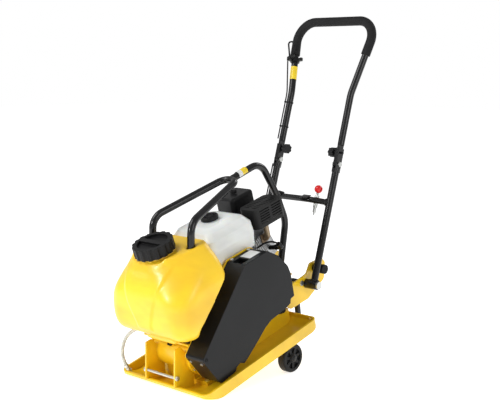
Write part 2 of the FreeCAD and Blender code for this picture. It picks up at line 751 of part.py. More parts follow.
def guard_screws():
    """Two screws in the guard's slanted nose and two along its top."""
    top = GUARD_OUTLINE[1][1]
    nose = V(0, GUARD_OUTLINE[0][0], GUARD_OUTLINE[0][1])
    down = (V(0, GUARD_OUTLINE[-1][0], GUARD_OUTLINE[-1][1]) - nose).normalize()
    out = V(0, down.z, -down.y)
    screws = [rod_between(nose + down * 24 + V(x, 0, 0), nose + down * 24 + out * 3 + V(x, 0, 0), 5)
              for x in (122, 172)]
    return screws + [cyl_z(120, y, top, top + 4, 6) for y in (26, 108)]


def guard_back_plate():
    """Plate behind the guard, standing proud of it along the top edge."""
    top = GUARD_OUTLINE[1][1]
    outline = [(y, z + BACK_PLATE_RISE * (z == top)) for y, z in GUARD_OUTLINE]
    plate = side_plate(outline, GUARD_IN_X - BACK_PLATE, GUARD_IN_X, GUARD_RADII)
    plate = plate.cut(cyl_x(90, 130, CRANK_Y, CRANK_Z, 46))
    plate = plate.cut(cyl_x(90, 130, EXC_Y, EXC_Z, 30))
    return plate


# --------------------------------------------------------------------- cage
def cage_leg_line():
    return V(CAGE_X, CAGE_FOOT_Y, SHELF_TOP + 5), V(CAGE_X, CAGE_TOP_Y, CAGE_TOP_Z)


def cage_hoop():
    foot, corner = cage_leg_line()
    points = [V(-foot.x, foot.y, foot.z), V(-corner.x, corner.y, corner.z), V(-APEX_HALF, APEX_Y, APEX_Z),
              V(APEX_HALF, APEX_Y, APEX_Z), corner, foot]
    hoop = tube(points, [55, 34, 34, 55], CAGE_R, TUBE_WALL)
    y0, y1 = CAGE_FOOT_Y - 25, CAGE_FOOT_Y + 28
    shoes = pair(box(CAGE_X - 12, CAGE_X + 15, y0, y1, SHELF_TOP, SHELF_TOP + 6))
    return join([hoop] + shoes)


def spine_points():
    return [V(0, y, z) for y, z in SPINE]


def cage_spine():
    points = spine_points()
    points[0] = V(0, APEX_Y + CAGE_R - 2, APEX_Z)
    spine = tube(points, SPINE_RADII, CAGE_R, TUBE_WALL)
    hoop_keepout = tube([V(-APEX_HALF - 40, APEX_Y, APEX_Z), V(APEX_HALF + 40, APEX_Y, APEX_Z)],
                        [], CAGE_R + GAP)
    shoe = box(-32, 32, 326, 364, DECK_TOP, DECK_TOP + 6)
    return join([spine.cut(hoop_keepout).cut(box(-40, 40, 300, 400, 0, DECK_TOP + 2)), shoe])


def cage_bolts():
    bolts = []
    for x in (-24, 24):
        bolts.append(hexagon(V(x, 334, DECK_TOP + 6), V(0, 0, 1), 10, 6))
    for y in (CAGE_FOOT_Y - 18, CAGE_FOOT_Y + 21):
        bolts += pair(hexagon(V(CAGE_X, y, SHELF_TOP + 6), V(0, 0, 1), 9, 5))
    return bolts


# --------------------------------------------------------------- water tank
def tank_section(z, half, front, corner, inset):
    hw = half - inset
    points = [V(-hw, front + inset, z), V(hw, front + inset, z),
              V(hw, TANK_REAR_Y - inset, z), V(-hw, TANK_REAR_Y - inset, z)]
    rear = TANK_REAR_R - inset
    return closed_outline(points, [corner - inset, corner - inset, rear, rear])


def tank_form(inset):
    wires = []
    last = len(TANK_SECTIONS) - 1
    for k, (z, half, front, corner) in enumerate(TANK_SECTIONS):
        lift = inset if k == 0 else (-inset if k == last else 0)
        wires.append(tank_section(z + lift, half, front, corner, inset))
    body = Part.makeLoft(wires, True, False)
    sump = plan_block(inset - SUMP_HALF, SUMP_HALF - inset, SUMP_FRONT + inset, SUMP_REAR - inset,
                      SHELF_TOP + GAP + inset, 240, 18)
    rise = inset * 1.3
    low_y, low_z = SLANT_LOW[0] - inset, SLANT_LOW[1] + rise
    high_y, high_z = SLANT_HIGH[0] - inset, SLANT_HIGH[1] + rise
    slant = side_plate([(low_y, low_z), (high_y, high_z), (60, high_z), (60, 120), (low_y, 120)], -260, 260)
    body = body.cut(slant).fuse(sump)
    foot, corner = cage_leg_line()
    low = foot - (corner - foot) * 0.1
    radius = CAGE_R + LEG_CLEAR + inset
    for leg in pair(rod_between(low, corner, radius)):
        body = body.cut(leg)
    return body


def filler_axis():
    lean = math.radians(FILLER_LEAN)
    return V(0, -math.sin(lean), math.cos(lean))


def filler_cylinder(low, high, r):
    base = V(0, FILLER_Y, FILLER_Z)
    return rod_between(base + filler_axis() * low, base + filler_axis() * high, r)


def water_tank():
    outer = tank_form(0.0).cut(filler_cylinder(0, 90, CAP_R + 10))
    dish = filler_cylinder(-TANK_WALL, 90, CAP_R + 10 + TANK_WALL)
    inner = tank_form(TANK_WALL).cut(dish)
    neck = filler_cylinder(-TANK_WALL, NECK_H, NECK_R)
    tank = outer.fuse(neck).cut(inner).cut(filler_cylinder(-14, NECK_H + 1, NECK_R - 5))
    outlet = Part.makeCylinder(6, 30, V(-SUMP_HALF - 10, -222, 197), V(1, 0, 0))
    return tank.cut(outlet)


def water_tank_cap():
    low = NECK_H - 18
    top = CAP_GAP + CAP_H
    cap = filler_cylinder(low, top, CAP_R)
    for k in range(16):
        a = math.radians(22.5 * k)
        base = V(0, FILLER_Y, FILLER_Z)
        across = V(1, 0, 0) * math.cos(a) + filler_axis().cross(V(1, 0, 0)) * math.sin(a)
        centre = base + across * (CAP_R + 7)
        cap = cap.cut(rod_between(centre, centre + filler_axis() * (top + 5), 11))
    cap = cap.cut(filler_cylinder(low - 1, NECK_H + 2, NECK_R + GAP))
    cap = cap.cut(filler_cylinder(top - 9, top + 1, 52))
    bar = box(-52, 52, FILLER_Y - 9, FILLER_Y + 9, 0, 10)
    bar.Placement = FreeCAD.Placement(V(0, FILLER_Y, FILLER_Z) + filler_axis() * (top - 10),
                                      FreeCAD.Rotation(V(1, 0, 0), FILLER_LEAN)).multiply(
                                          FreeCAD.Placement(V(0, -FILLER_Y, 0), FreeCAD.Rotation()))
    return cap.fuse(bar)


def hose_points():
    return [V(*p) for p in HOSE_ROUTE]


def hose_radii():
    points = hose_points()
    radii = []
    for before, corner, after in zip(points, points[1:], points[2:]):
        turn = (corner - before).getAngle(after - corner)
        shorter = min((corner - before).Length, (after - corner).Length)
        radii.append(0.45 * shorter / math.tan(turn / 2))
    return radii


def water_hose():
    return sweep(bent_path(hose_points(), hose_radii()), HOSE_R)


def hose_outlet():
    """Barbed spigot in the tank's sump that the hose leaves from."""
    start = hose_points()[0]
    inside = rod_between(V(-SUMP_HALF + 8, -222, 197), V(-SUMP_HALF - 2, -222, 197), 5.8)
    collar = Part.makeCylinder(8, 4, V(-SUMP_HALF - 4.2, -222, 197), V(1, 0, 0))
    spigot = rod_between(V(-SUMP_HALF - 4, -222, 197), start, 6.5)
    return join([inside, collar, spigot])


def hose_inlet(plate):
    """Elbow on the plate that takes the hose's lower end."""
    end = hose_points()[-1]
    way = (hose_points()[-2] - end).normalize()
    stub = rod_between(end - way * 14, end, 7)
    foot = cyl_z(end.x, end.y + 4, 25.4, end.z - 8, 9)
    return stub.fuse(foot).cut(plate)


# ------------------------------------------------------------------- handle
def lower_handle():
    bottom = on_handle(0)
    fork_at = on_handle(FOLD_S - 16)
    parts = []
    for leg in pair(rod_between(bottom, fork_at, TUBE_R)):
        parts.append(leg)
    sleeve = cyl_x(DECK_HALF + GAP, SLEEVE_OUT_X, HANDLE_Y, HANDLE_Z, SLEEVE_R)
    parts += pair(sleeve)
    side = on_handle(CROSSBAR_S)
    middle = on_handle(CROSSBAR_S, 0, CROSSBAR_BOW)
    bar = tube([V(-side.x, side.y, side.z), V(-72, middle.y, middle.z), V(72, middle.y, middle.z), side],
               [90, 90], TUBE_R - 2)
    parts.append(bar)
    parts += fork_cheeks()
    handle = join(parts)
    for bore in pair(rod_between(on_handle(24), on_handle(FOLD_S - 26), TUBE_R - TUBE_WALL)):
        handle = handle.cut(bore)
    for bore in pair(cyl_x(DECK_HALF - 4, SLEEVE_OUT_X + 4, HANDLE_Y, HANDLE_Z, PIVOT_BOLT_R + RUN_CLEAR)):
        handle = handle.cut(bore)
    for s, r in ((FOLD_S, 5.1), (KNOB_S, 4.08)):
        p = on_handle(s)
        handle = handle.cut(cyl_x(-200, 200, p.y, p.z, r))
    p = plunger_base()
    return handle.cut(rod_between(p - up_handle() * 30, p + up_handle() * 30, 6.2))


def fork_cheeks():
    """Two flat cheeks each side that take the upper tube's blade."""
    width, thick = 28.0, 4.0
    cheeks = []
    for x in (HANDLE_X - 4.3 - thick, HANDLE_X + 4.3):
        plate = Part.makeBox(thick, width, KNOB_S - FOLD_S + 46, V(x, -width / 2, -30))
        cheeks.append(plate)
    base = Part.makeBox(2 * 4.3 + 2 * thick, width - 2, 14, V(HANDLE_X - 4.3 - thick, -width / 2 + 1, -30))
    fork = join(cheeks + [base])
    fork.rotate(V(0, 0, 0), V(1, 0, 0), -HANDLE_LEAN)
    p = on_handle(FOLD_S, 0)
    fork.translate(p)
    return pair(fork)


def blade():
    """Flattened lower end of an upper tube, with its open slot for the knob's stud."""
    width, thick = 27.0, 8.0
    flat = Part.makeBox(thick, width, TUBE_START_S - FOLD_S + 16, V(HANDLE_X - thick / 2, -width / 2, 0))
    heel = Part.makeCylinder(width / 2, thick, V(HANDLE_X - thick / 2, 0, 0), V(1, 0, 0))
    flat = flat.fuse(heel)
    flat = flat.cut(Part.makeCylinder(5.1, 20, V(HANDLE_X - 10, 0, 0), V(1, 0, 0)))
    reach = KNOB_S - FOLD_S
    flat = flat.cut(Part.makeCylinder(4.4, 20, V(HANDLE_X - 10, 0, reach), V(1, 0, 0)))
    flat = flat.cut(Part.makeBox(20, width, 12.3, V(HANDLE_X - 10, 0, reach - 7.9)))
    flat.rotate(V(0, 0, 0), V(1, 0, 0), -HANDLE_LEAN)
    flat.translate(on_handle(FOLD_S, 0))
    return flat


def grip_path_points():
    """Kink, then grip corner, on the drive side."""
    kink = on_handle(BEND_S)
    corner = V(GRIP_CORNER_X, GRIP_CORNER_Y, GRIP_CORNER_Z)
    return kink, corner


def flip(p):
    return V(-p.x, p.y, p.z)


def upper_handle():
    start = on_handle(TUBE_START_S)
    kink, corner = grip_path_points()
    bar = tube([start, kink, corner, flip(corner), flip(kink), flip(start)],
               [KINK_R, GRIP_CORNER_R, GRIP_CORNER_R, KINK_R], TUBE_R - 0.5, TUBE_WALL)
    return join([bar] + pair(blade()))


def foam_grip():
    kink, corner = grip_path_points()
    end = kink + (corner - kink) * FOAM_SHARE
    path = bent_path([end, corner, flip(corner), flip(end)], [GRIP_CORNER_R, GRIP_CORNER_R])
    return sweep(path, FOAM_R).cut(sweep(path, TUBE_R - 0.5 + 0.05))


def star_knob():
    """Seven-lobed knob on the inner side with its stud through the fork."""
    p = on_handle(KNOB_S)
    inner = HANDLE_X - 8.3 - 12
    hub = cyl_x(inner, HANDLE_X - 8.3 - GAP, p.y, p.z, 8)
    head = cyl_x(inner - 20, inner, p.y, p.z, 15)
    for k in range(7):
        a = 2 * math.pi * k / 7
        head = head.fuse(cyl_x(inner - 20, inner, p.y + 13 * math.cos(a), p.z + 13 * math.sin(a), 5))
    stud = cyl_x(inner, HANDLE_X + 8.3 + 9, p.y, p.z, 4)
    return join([hub, head, stud])


def fold_bolts():
    p = on_handle(FOLD_S)
    shank = cyl_x(HANDLE_X - 8.3 - GAP, HANDLE_X + 8.3 + GAP, p.y, p.z, 5)
    head = hexagon(V(HANDLE_X + 8.3 + GAP, p.y, p.z), V(1, 0, 0), 17, 7)
    nut = hexagon(V(HANDLE_X - 8.3 - GAP, p.y, p.z), V(-1, 0, 0), 17, 8)
    return pair(join([shank, head, nut]))


def handle_pivot_bolts():
    x0 = DECK_HALF - SHEET
    shank = cyl_x(x0 - 9, SLEEVE_OUT_X + GAP, HANDLE_Y, HANDLE_Z, PIVOT_BOLT_R)
    head = cyl_x(SLEEVE_OUT_X + GAP, SLEEVE_OUT_X + 8, HANDLE_Y, HANDLE_Z, 14)
    nut = hexagon(V(x0 - GAP, HANDLE_Y, HANDLE_Z), V(-1, 0, 0), 22, 8)
    return pair(join([shank, head, nut]))


def plunger_base():
    return on_handle(CROSSBAR_S, 96, CROSSBAR_BOW - 14)


def plunger_sleeve():
    p = plunger_base()
    up = up_handle()
    body = rod_between(p - up * 44, p + up * 20, 6)
    nut = rod_between(p + up * 11.5, p + up * 18, 9)
    low = rod_between(p - up * 26, p - up * 11.5, 8)
    return join([body, nut, low]).cut(rod_between(p - up * 60, p + up * 60, 3.1))


def plunger_knob():
    p = plunger_base()
    up = up_handle()
    stem = rod_between(p - up * 54, p + up * 32, 3)
    ball = Part.makeSphere(15, p + up * 42)
    return stem.fuse(ball)


# ----------------------------------------------------------------- throttle
def throttle_frame():
    """Place on the left tube just below the foam: point, tube axis."""
    kink, corner = grip_path_points()
    axis = (flip(corner) - flip(kink)).normalize()
    point = flip(kink) + (flip(corner) - flip(kink)) * (FOAM_SHARE - 0.075)
    return point, axis


def on_throttle(shape):
    point, axis = throttle_frame()
    return stand_along(shape, point, axis, V(1, 0, 0))


def throttle_clamp():
    ring = cyl_z(0, 0, -8, 8, 18)
    wing = box(14, 34, -5, 5, -6, 6)
    arm = box(-11, -7.8, -36, -14, -8, 5)
    pin = Part.makeCylinder(4, 17, V(-11, -29, 0), V(1, 0, 0))
    return on_throttle(join([ring, wing, arm, pin]).cut(cyl_z(0, 0, -9, 9, TUBE_R - 0.5 + 0.05)))


def throttle_lever():
    hub = Part.makeCylinder(9, 11, V(-6.2, -29, 0), V(1, 0, 0))
    loop = tube([V(-3, -30, 4), V(-12, -36, 64), V(13, -36, 64), V(3, -30, 4)], [9, 9], 3.2)
    bore = Part.makeCylinder(4.08, 40, V(-20, -29, 0), V(1, 0, 0))
    return on_throttle(hub.fuse(loop).cut(bore))


def throttle_joint():
    """Pivot point and axis of the throttle lever."""
    point, axis = throttle_frame()
    pivot = on_throttle(Part.Vertex(0, -29, 0)).Vertexes[0].Point
    side = on_throttle(Part.Vertex(1, -29, 0)).Vertexes[0].Point
    return pivot, side - pivot


def cable_lane(s):
    """Where the cable lies against the front outer side of a left tube."""
    return on_handle(s, -HANDLE_X - 11, TUBE_R + CABLE_R - 2)


def throttle_cable_upper():
    first = on_throttle(Part.Vertex(-2, -41, -8)).Vertexes[0].Point
    return tube([first, cable_lane(BEND_S - 4), cable_lane(TUBE_START_S + 6)], [160], CABLE_R)


def throttle_cable_lower():
    return rod_between(cable_lane(FOLD_S - 20), cable_lane(70), CABLE_R)


def cable_ties():
    ties = []
    for s in (BEND_S - 40, TUBE_START_S + 56):
        middle = on_handle(s, -HANDLE_X)
        up = up_handle() * 2.5
        band = rod_between(middle - up, middle + up, TUBE_R + 1.4)
        band = band.cut(rod_between(middle - up * 2, middle + up * 2, TUBE_R - 0.5 + 0.05))
        lane = cable_lane(s)
        loop = rod_between(lane - up, lane + up, CABLE_R + 1.6)
        loop = loop.cut(rod_between(lane - up * 2, lane + up * 2, CABLE_R + 0.1))
        tie = band.fuse(loop).cut(rod_between(middle - up * 2, middle + up * 2, TUBE_R - 0.5 + 0.05))
        ties.append(tie.cut(rod_between(lane - up * 2, lane + up * 2, CABLE_R + 0.1)))
    return ties


# ------------------------------------------------------------------- wheels
def wheel_bracket():
    legs = pair(tube([V(WHEEL_LEG_X, y, z) for y, z in WHEEL_PATH], WHEEL_RADII, WHEEL_TUBE_R, TUBE_WALL))
    eyes = pair(cyl_x(WHEEL_LEG_X - 13, WHEEL_LEG_X + 13, WHEEL_PIVOT_Y, WHEEL_PIVOT_Z, 13))
    cross = cyl_x(-WHEEL_LEG_X - 14, WHEEL_LEG_X + 14, WHEEL_Y, WHEEL_Z, 13)
    frame = join(legs + eyes + [cross])
    frame = frame.cut(cyl_x(-150, 150, WHEEL_PIVOT_Y, WHEEL_PIVOT_Z, WHEEL_ROD_R + RUN_CLEAR))
    return frame.cut(cyl_x(-150, 150, WHEEL_Y, WHEEL_Z, AXLE_R + 0.02))


def wheel_pivot_rod():
    outer = DECK_HALF + 5
    rod = cyl_x(-outer, outer, WHEEL_PIVOT_Y, WHEEL_PIVOT_Z, WHEEL_ROD_R)
    clips = pair(cyl_x(DECK_HALF + GAP, DECK_HALF + 4, WHEEL_PIVOT_Y, WHEEL_PIVOT_Z, 9.5))
    return join([rod] + clips)


def wheel_axle():
    end = WHEEL_MID_X + WHEEL_W / 2
    axle = cyl_x(-end - 3, end + 3, WHEEL_Y, WHEEL_Z, AXLE_R)
    caps = pair(cyl_x(end + GAP, end + 3.5, WHEEL_Y, WHEEL_Z, 12))
    inner_side = WHEEL_MID_X - WHEEL_W / 2
    collars = pair(cyl_x(inner_side - 8, inner_side - GAP, WHEEL_Y, WHEEL_Z, 12))
    return join([axle] + caps + collars)


def wheel():
    x0 = WHEEL_MID_X - WHEEL_W / 2
    x1 = x0 + WHEEL_W
    disc = cyl_x(x0, x1, WHEEL_Y, WHEEL_Z, WHEEL_R)
    rims = [e for e in disc.Edges if e.Length > 100 and not e.isSeam(disc.Faces[0])]
    disc = disc.makeFillet(6, rims)
    for face in (x0 - 1, x1 - 8):
        ring = cyl_x(face, face + 9, WHEEL_Y, WHEEL_Z, WHEEL_R - 14)
        disc = disc.cut(ring.cut(cyl_x(face, face + 9, WHEEL_Y, WHEEL_Z, 17)))
    for k in range(7):
        a = 2 * math.pi * k / 7
        spoke = box(x1 - 8, x1 - 2, WHEEL_Y + 15, WHEEL_Y + WHEEL_R - 12, WHEEL_Z - 5, WHEEL_Z + 5)
        disc = disc.fuse(spoke.rotate(V(0, WHEEL_Y, WHEEL_Z), V(1, 0, 0), math.degrees(a)))
    return disc.cut(cyl_x(x0 - 5, x1 + 5, WHEEL_Y, WHEEL_Z, AXLE_R + RUN_CLEAR))


# ------------------------------------------------------------------- export
def nose_down():
    """Pitch at which the plate's front bend and the wheels stand on one level."""
    ramp = math.atan2(FRONT_LIP_Z, FRONT_RAMP)
    bend_y = PLATE_FRONT + FRONT_RAMP + FRONT_BEND_R * math.tan(ramp / 2)
    rise = FRONT_BEND_R - WHEEL_Z
    run = WHEEL_Y - bend_y
    return math.degrees(math.acos((FRONT_BEND_R - WHEEL_R) / math.hypot(rise, run)) - math.atan2(run, rise))


def build():
    plate = base_plate()
    hose = water_hose()
    switch_body, switch_knob = engine_switch()
    right_wheel = wheel()
    right_knob = star_knob()
    return {
        "base_plate": [plate],
        "shock_pedestal": [largest(shock_pedestal().cut(plate))],
        "shock_mounts": shock_mounts(),
        "front_ribs": front_ribs(plate),
        "front_tie_rod": [front_tie_rod()],
        "exciter_housing": [exciter_housing()],
        "exciter_covers": exciter_covers(),
        "exciter_bearings": exciter_bearings(),
        "exciter_shaft": [exciter_shaft()],
        "exciter_pulley": [exciter_pulley()],
        "oil_plug": [oil_plug()],
        "hex_fasteners": mount_nuts() + exciter_cover_bolts() + cage_bolts(),
        "engine_deck": [engine_deck()],
        "handle_stops": handle_stops(),
        "crankcase": [crankcase()],
        "cylinder_block": [cylinder_block()],
        "cylinder_head": [cylinder_head()],
        "rocker_cover": [rocker_cover()],
        "spark_plug": [spark_plug()],
        "crankshaft": [crankshaft()],
        "clutch_drum": [clutch_drum()],
        "drive_belt": [drive_belt()],
        "belt_guard": [belt_guard()],
        "guard_back_plate": [guard_back_plate()],
        "guard_screws": guard_screws(),
        "fuel_tank": [fuel_tank()],
        "fuel_cap": [fuel_cap()],
        "air_cleaner": air_cleaner(),
        "carburettor": [carburettor()],
        "muffler": [muffler(), silencer_bracket()],
        "muffler_guard": [muffler_guard()],
        "exhaust_pipe": [exhaust_pipe()],
        "recoil_housing": [recoil_housing().cut(crankcase())],
        "recoil_grip": [recoil_grip()],
        "recoil_rope": [recoil_rope()],
        "switch_body": [switch_body],
        "switch_knob": [switch_knob],
        "cage_hoop": [cage_hoop()],
        "cage_spine": [cage_spine()],
        "water_tank": [water_tank()],
        "water_tank_cap": [water_tank_cap()],
        "water_hose": [hose],
        "hose_fittings": [hose_outlet().cut(hose), hose_inlet(plate)],
        "lower_handle": [lower_handle()],
        "pivot_pins": handle_pivot_bolts() + [wheel_pivot_rod()],
        "upper_handle": [upper_handle()],
        "foam_grip": [foam_grip()],
        "knob_right": [right_knob],
        "knob_left": [mirrored(right_knob)],
        "fold_bolts": fold_bolts(),
        "plunger_sleeve": [plunger_sleeve()],
        "plunger_knob": [plunger_knob()],
        "throttle_clamp": [throttle_clamp()] + cable_ties(),
        "throttle_lever": [throttle_lever()],
        "throttle_cable_upper": [throttle_cable_upper()],
        "throttle_cable_lower": [throttle_cable_lower()],
        "wheel_bracket": [wheel_bracket()],
        "wheel_axle": [wheel_axle()],
        "wheel_right": [right_wheel],
        "wheel_left": [mirrored(right_wheel)],
    }


def ground_placement(nodes):
    """Pitch onto the wheels, then centre over the ground."""
    pitch = FreeCAD.Placement(V(0, 0, 0), FreeCAD.Rotation(V(1, 0, 0), nose_down()))
    low = V(1e9, 1e9, 1e9)
    high = V(-1e9, -1e9, -1e9)
    for solids in nodes.values():
        for solid in solids:
            moved = solid.copy()
            moved.Placement = pitch.multiply(moved.Placement)
            edge = moved.optimalBoundingBox(False, False)
            low = V(min(low.x, edge.XMin), min(low.y, edge.YMin), min(low.z, edge.ZMin))
            high = V(max(high.x, edge.XMax), max(high.y, edge.YMax), max(high.z, edge.ZMax))
    shift = V(-(low.x + high.x) / 2, -(low.y + high.y) / 2, -low.z)
    print("size", high - low, "pitch", nose_down(), "shift", shift)
    return FreeCAD.Placement(shift, pitch.Rotation)


def export(nodes):
    os.makedirs("parts", exist_ok=True)
    stand = ground_placement(nodes)
    for name, solids in nodes.items():
        for solid in solids:
            solid.Placement = stand.multiply(solid.Placement)
        shape = solids[0] if len(solids) == 1 else Part.makeCompound(solids)
        shape.exportStep("parts/" + name + ".step")
    hose_length = bent_path(hose_points(), hose_radii()).Length
    print("hose radii", [round(r) for r in hose_radii()], "length", round(hose_length, 1))


if __name__ == "__main__":
    export(build())
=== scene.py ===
import json
import math

import bpy
from bpy.props import FloatProperty, FloatVectorProperty, IntProperty
from mathutils import Matrix, Vector


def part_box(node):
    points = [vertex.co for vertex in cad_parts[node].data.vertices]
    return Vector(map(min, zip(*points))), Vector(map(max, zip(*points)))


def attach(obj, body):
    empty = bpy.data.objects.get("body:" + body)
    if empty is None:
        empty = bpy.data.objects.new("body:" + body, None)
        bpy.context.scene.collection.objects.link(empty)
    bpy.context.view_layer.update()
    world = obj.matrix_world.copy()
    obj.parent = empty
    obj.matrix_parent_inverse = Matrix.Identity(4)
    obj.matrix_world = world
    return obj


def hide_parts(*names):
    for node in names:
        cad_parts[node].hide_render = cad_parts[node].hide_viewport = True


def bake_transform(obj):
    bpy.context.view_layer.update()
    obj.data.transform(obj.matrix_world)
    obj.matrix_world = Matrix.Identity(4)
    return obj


bl_info = {
    "name": "Plate Compactor Workshop",
    "version": (1, 0, 0),
    "blender": (4, 5, 0),
    "location": "3D Viewport > Sidebar > Compactor",
    "description": "Finishes a walk-behind plate compactor piece by piece",
    "category": "Object",
}

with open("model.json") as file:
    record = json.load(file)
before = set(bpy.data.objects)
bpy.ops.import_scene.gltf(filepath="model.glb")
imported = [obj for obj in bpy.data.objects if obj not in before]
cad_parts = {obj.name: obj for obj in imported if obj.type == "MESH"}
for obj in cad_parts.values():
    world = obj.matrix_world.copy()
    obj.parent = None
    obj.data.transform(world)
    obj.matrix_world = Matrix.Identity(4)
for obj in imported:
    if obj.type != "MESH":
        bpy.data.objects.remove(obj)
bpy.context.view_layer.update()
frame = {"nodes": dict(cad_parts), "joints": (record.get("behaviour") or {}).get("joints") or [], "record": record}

SOLE = frame["record"]["mounts"][0]
NOSE_DOWN = math.atan2(SOLE["axis"][1], -SOLE["axis"][2])
ON_GROUND = Matrix.Translation(Vector(SOLE["pos_m"])) @ Matrix.Rotation(NOSE_DOWN, 4, "X")
MM = 1 / 1000

# The handle and its crossbar, in millimetres and radians
HANDLE_LEAN = math.radians(32.5)
HANDLE_FOOT_Y = 366
HANDLE_FOOT_Z = 117
HANDLE_X = 142
CROSSBAR_S = 299
CROSSBAR_BOW = 34
BEND_S = 702

# Radius of a label wrapped round a tube, in metres
TUBE_LABEL_R = 0.01285

# The camera as it was found in the level machine's frame, in metres and degrees
CAMERA_PLACE = (2.43059, -2.42678, 1.00315)
CAMERA_TURN = 43.451
CAMERA_DROP = 7.739
CAMERA_NOSE_DOWN = 15.926


def at_plate(x, y, z):
    """A place given in millimetres from the middle of the sole plate."""
    return ON_GROUND @ (Vector((x, y, z)) * MM)


def on_handle(s, x, forward=0.0):
    """A place s millimetres up the handle's straight part."""
    return at_plate(x, HANDLE_FOOT_Y + s * math.sin(HANDLE_LEAN) - forward * math.cos(HANDLE_LEAN),
                    HANDLE_FOOT_Z + s * math.cos(HANDLE_LEAN) + forward * math.sin(HANDLE_LEAN))


def handle_up():
    return (on_handle(400, 0) - on_handle(300, 0)).normalized()


# ------------------------------------------------------------------ settings
def colour(name, words, value):
    return FloatVectorProperty(name=name, description=words, subtype="COLOR", size=3, min=0, max=1,
                               default=value)


def length(name, words, value):
    return FloatProperty(name=name, description=words, unit="LENGTH", subtype="DISTANCE", default=value,
                         min=0)


class CompactorPaints(bpy.types.PropertyGroup):
    frame_yellow: colour("Frame yellow", "Paint of the plate, deck and ribs", (0.86, 0.545, 0.008))
    tank_yellow: colour("Tank yellow", "Moulded colour of the water tank", (0.96, 0.585, 0.02))
    tube_black: colour("Tube black", "Paint of the handle and cage tubes", (0.006, 0.006, 0.0065))
    guard_charcoal: colour("Guard charcoal", "Satin paint of the belt guard", (0.0085, 0.009, 0.010))
    plastic_black: colour("Plastic black", "Caps, knobs and covers", (0.0075, 0.0075, 0.008))
    fuel_white: colour("Fuel tank white", "Translucent white of the fuel tank", (0.82, 0.84, 0.82))
    ball_red: colour("Ball red", "The pull ball on the handle", (0.62, 0.012, 0.012))


class CompactorSizes(bpy.types.PropertyGroup):
    edge_round: length("Edge rounding", "How far painted sheet edges are softened", 0.0016)
    panel_rise: length("Tank panel rise", "How far the front panel stands out of the tank", 0.0045)
    hose_bore: length("Hose radius", "Radius of the sprinkler hose", 0.006)
    tank_smoothing: IntProperty(name="Tank smoothing", default=9,
                                description="Passes that soften the moulded tank")
    front_smoothing: IntProperty(name="Front smoothing", default=45,
                                 description="More passes on the tank's front")


class CompactorCamera(bpy.types.PropertyGroup):
    lens: FloatProperty(name="Lens", description="Focal length", subtype="DISTANCE_CAMERA", unit="CAMERA",
                        default=73.376)
    sky: FloatProperty(name="Sky", description="Strength of the even studio light", default=0.42, min=0)
    key: FloatProperty(name="Key light", description="Power of the large lamp above", unit="POWER",
                       default=63, min=0)


# ------------------------------------------------------------------ materials
class Value:
    """A shader socket that takes part in sums."""

    def __init__(self, finish, socket):
        self.finish = finish
        self.socket = socket

    def sum(self, operation, *terms):
        return self.finish.make("ShaderNodeMath", {"operation": operation}, dict(enumerate(terms)))

    def __add__(self, other):
        return self.sum("ADD", self, other)

    def __sub__(self, other):
        return self.sum("SUBTRACT", self, other)

    def __rsub__(self, other):
        return self.sum("SUBTRACT", other, self)

    def __mul__(self, other):
        return self.sum("MULTIPLY", self, other)

    __radd__ = __add__
    __rmul__ = __mul__

    def between(self, low, high, to_low=0.0, to_high=1.0):
        """Rises smoothly as the value goes from low to high."""
        return self.finish.make("ShaderNodeMapRange", {"interpolation_type": "SMOOTHSTEP"},
                                {0: self, 1: low, 2: high, 3: to_low, 4: to_high})


class Finish:
    """One material with its shader, built up in steps."""

    def __init__(self, name):
        self.material = bpy.data.materials.new(name)
        self.material.use_nodes = True
        self.tree = self.material.node_tree
        self.tree.nodes.clear()
        self.place = self.make("ShaderNodeTexCoord", out="Object")
        self.shader = self.add("ShaderNodeBsdfPrincipled")
        output = self.add("ShaderNodeOutputMaterial")
        self.tree.links.new(self.shader.outputs[0], output.inputs[0])

    def add(self, kind, settings=None, inputs=None):
        node = self.tree.nodes.new(kind)
        for key, value in (settings or {}).items():
            setattr(node, key, value)
        for key, value in (inputs or {}).items():
            if isinstance(value, Value):
                self.tree.links.new(value.socket, node.inputs[key])
            else:
                node.inputs[key].default_value = value
        return node

    def make(self, kind, settings=None, inputs=None, out=0):
        return Value(self, self.add(kind, settings, inputs).outputs[out])

    def set(self, **sockets):
        for key, value in sockets.items():
            socket = self.shader.inputs[key.replace("_", " ")]
            if isinstance(value, Value):
                self.tree.links.new(value.socket, socket)
            else:
                socket.default_value = value

    def stretched(self, scale):
        return self.make("ShaderNodeMapping", {}, {"Vector": self.place, "Scale": scale})

    def noise(self, scale, detail=3.0, rough=0.5, where=None):
        return self.make("ShaderNodeTexNoise", {}, {"Vector": where or self.place, "Scale": scale,
                                                    "Detail": detail, "Roughness": rough})

    def cells(self, scale):
        return self.make("ShaderNodeTexVoronoi", {}, {"Vector": self.place, "Scale": scale})

    def blend(self, amount, first, second):
        def four(c):
            return c if isinstance(c, Value) else (*c, 1.0)
        return self.make("ShaderNodeMix", {"data_type": "RGBA"},
                         {0: amount, 6: four(first), 7: four(second)}, out=2)

    def rounded(self, radius):
        """Soft edges: the turned normal, and a mask that is 1 on the edge itself."""
        soft = self.make("ShaderNodeBevel", {"samples": 6}, {"Radius": radius})
        face = self.make("ShaderNodeNewGeometry", out="Normal")
        same = self.make("ShaderNodeVectorMath", {"operation": "DOT_PRODUCT"}, {0: soft, 1: face},
                         out="Value")
        return soft, (1.0 - same).between(0.02, 0.22)

    def bump(self, height, strength, distance, normal=None):
        inputs = {"Height": height, "Strength": strength, "Distance": distance}
        if normal:
            inputs["Normal"] = normal
        self.set(Normal=self.make("ShaderNodeBump", {}, inputs))


def shades(base, up=1.12, down=0.86):
    return tuple(min(1.0, c * up) for c in base), tuple(c * down for c in base)


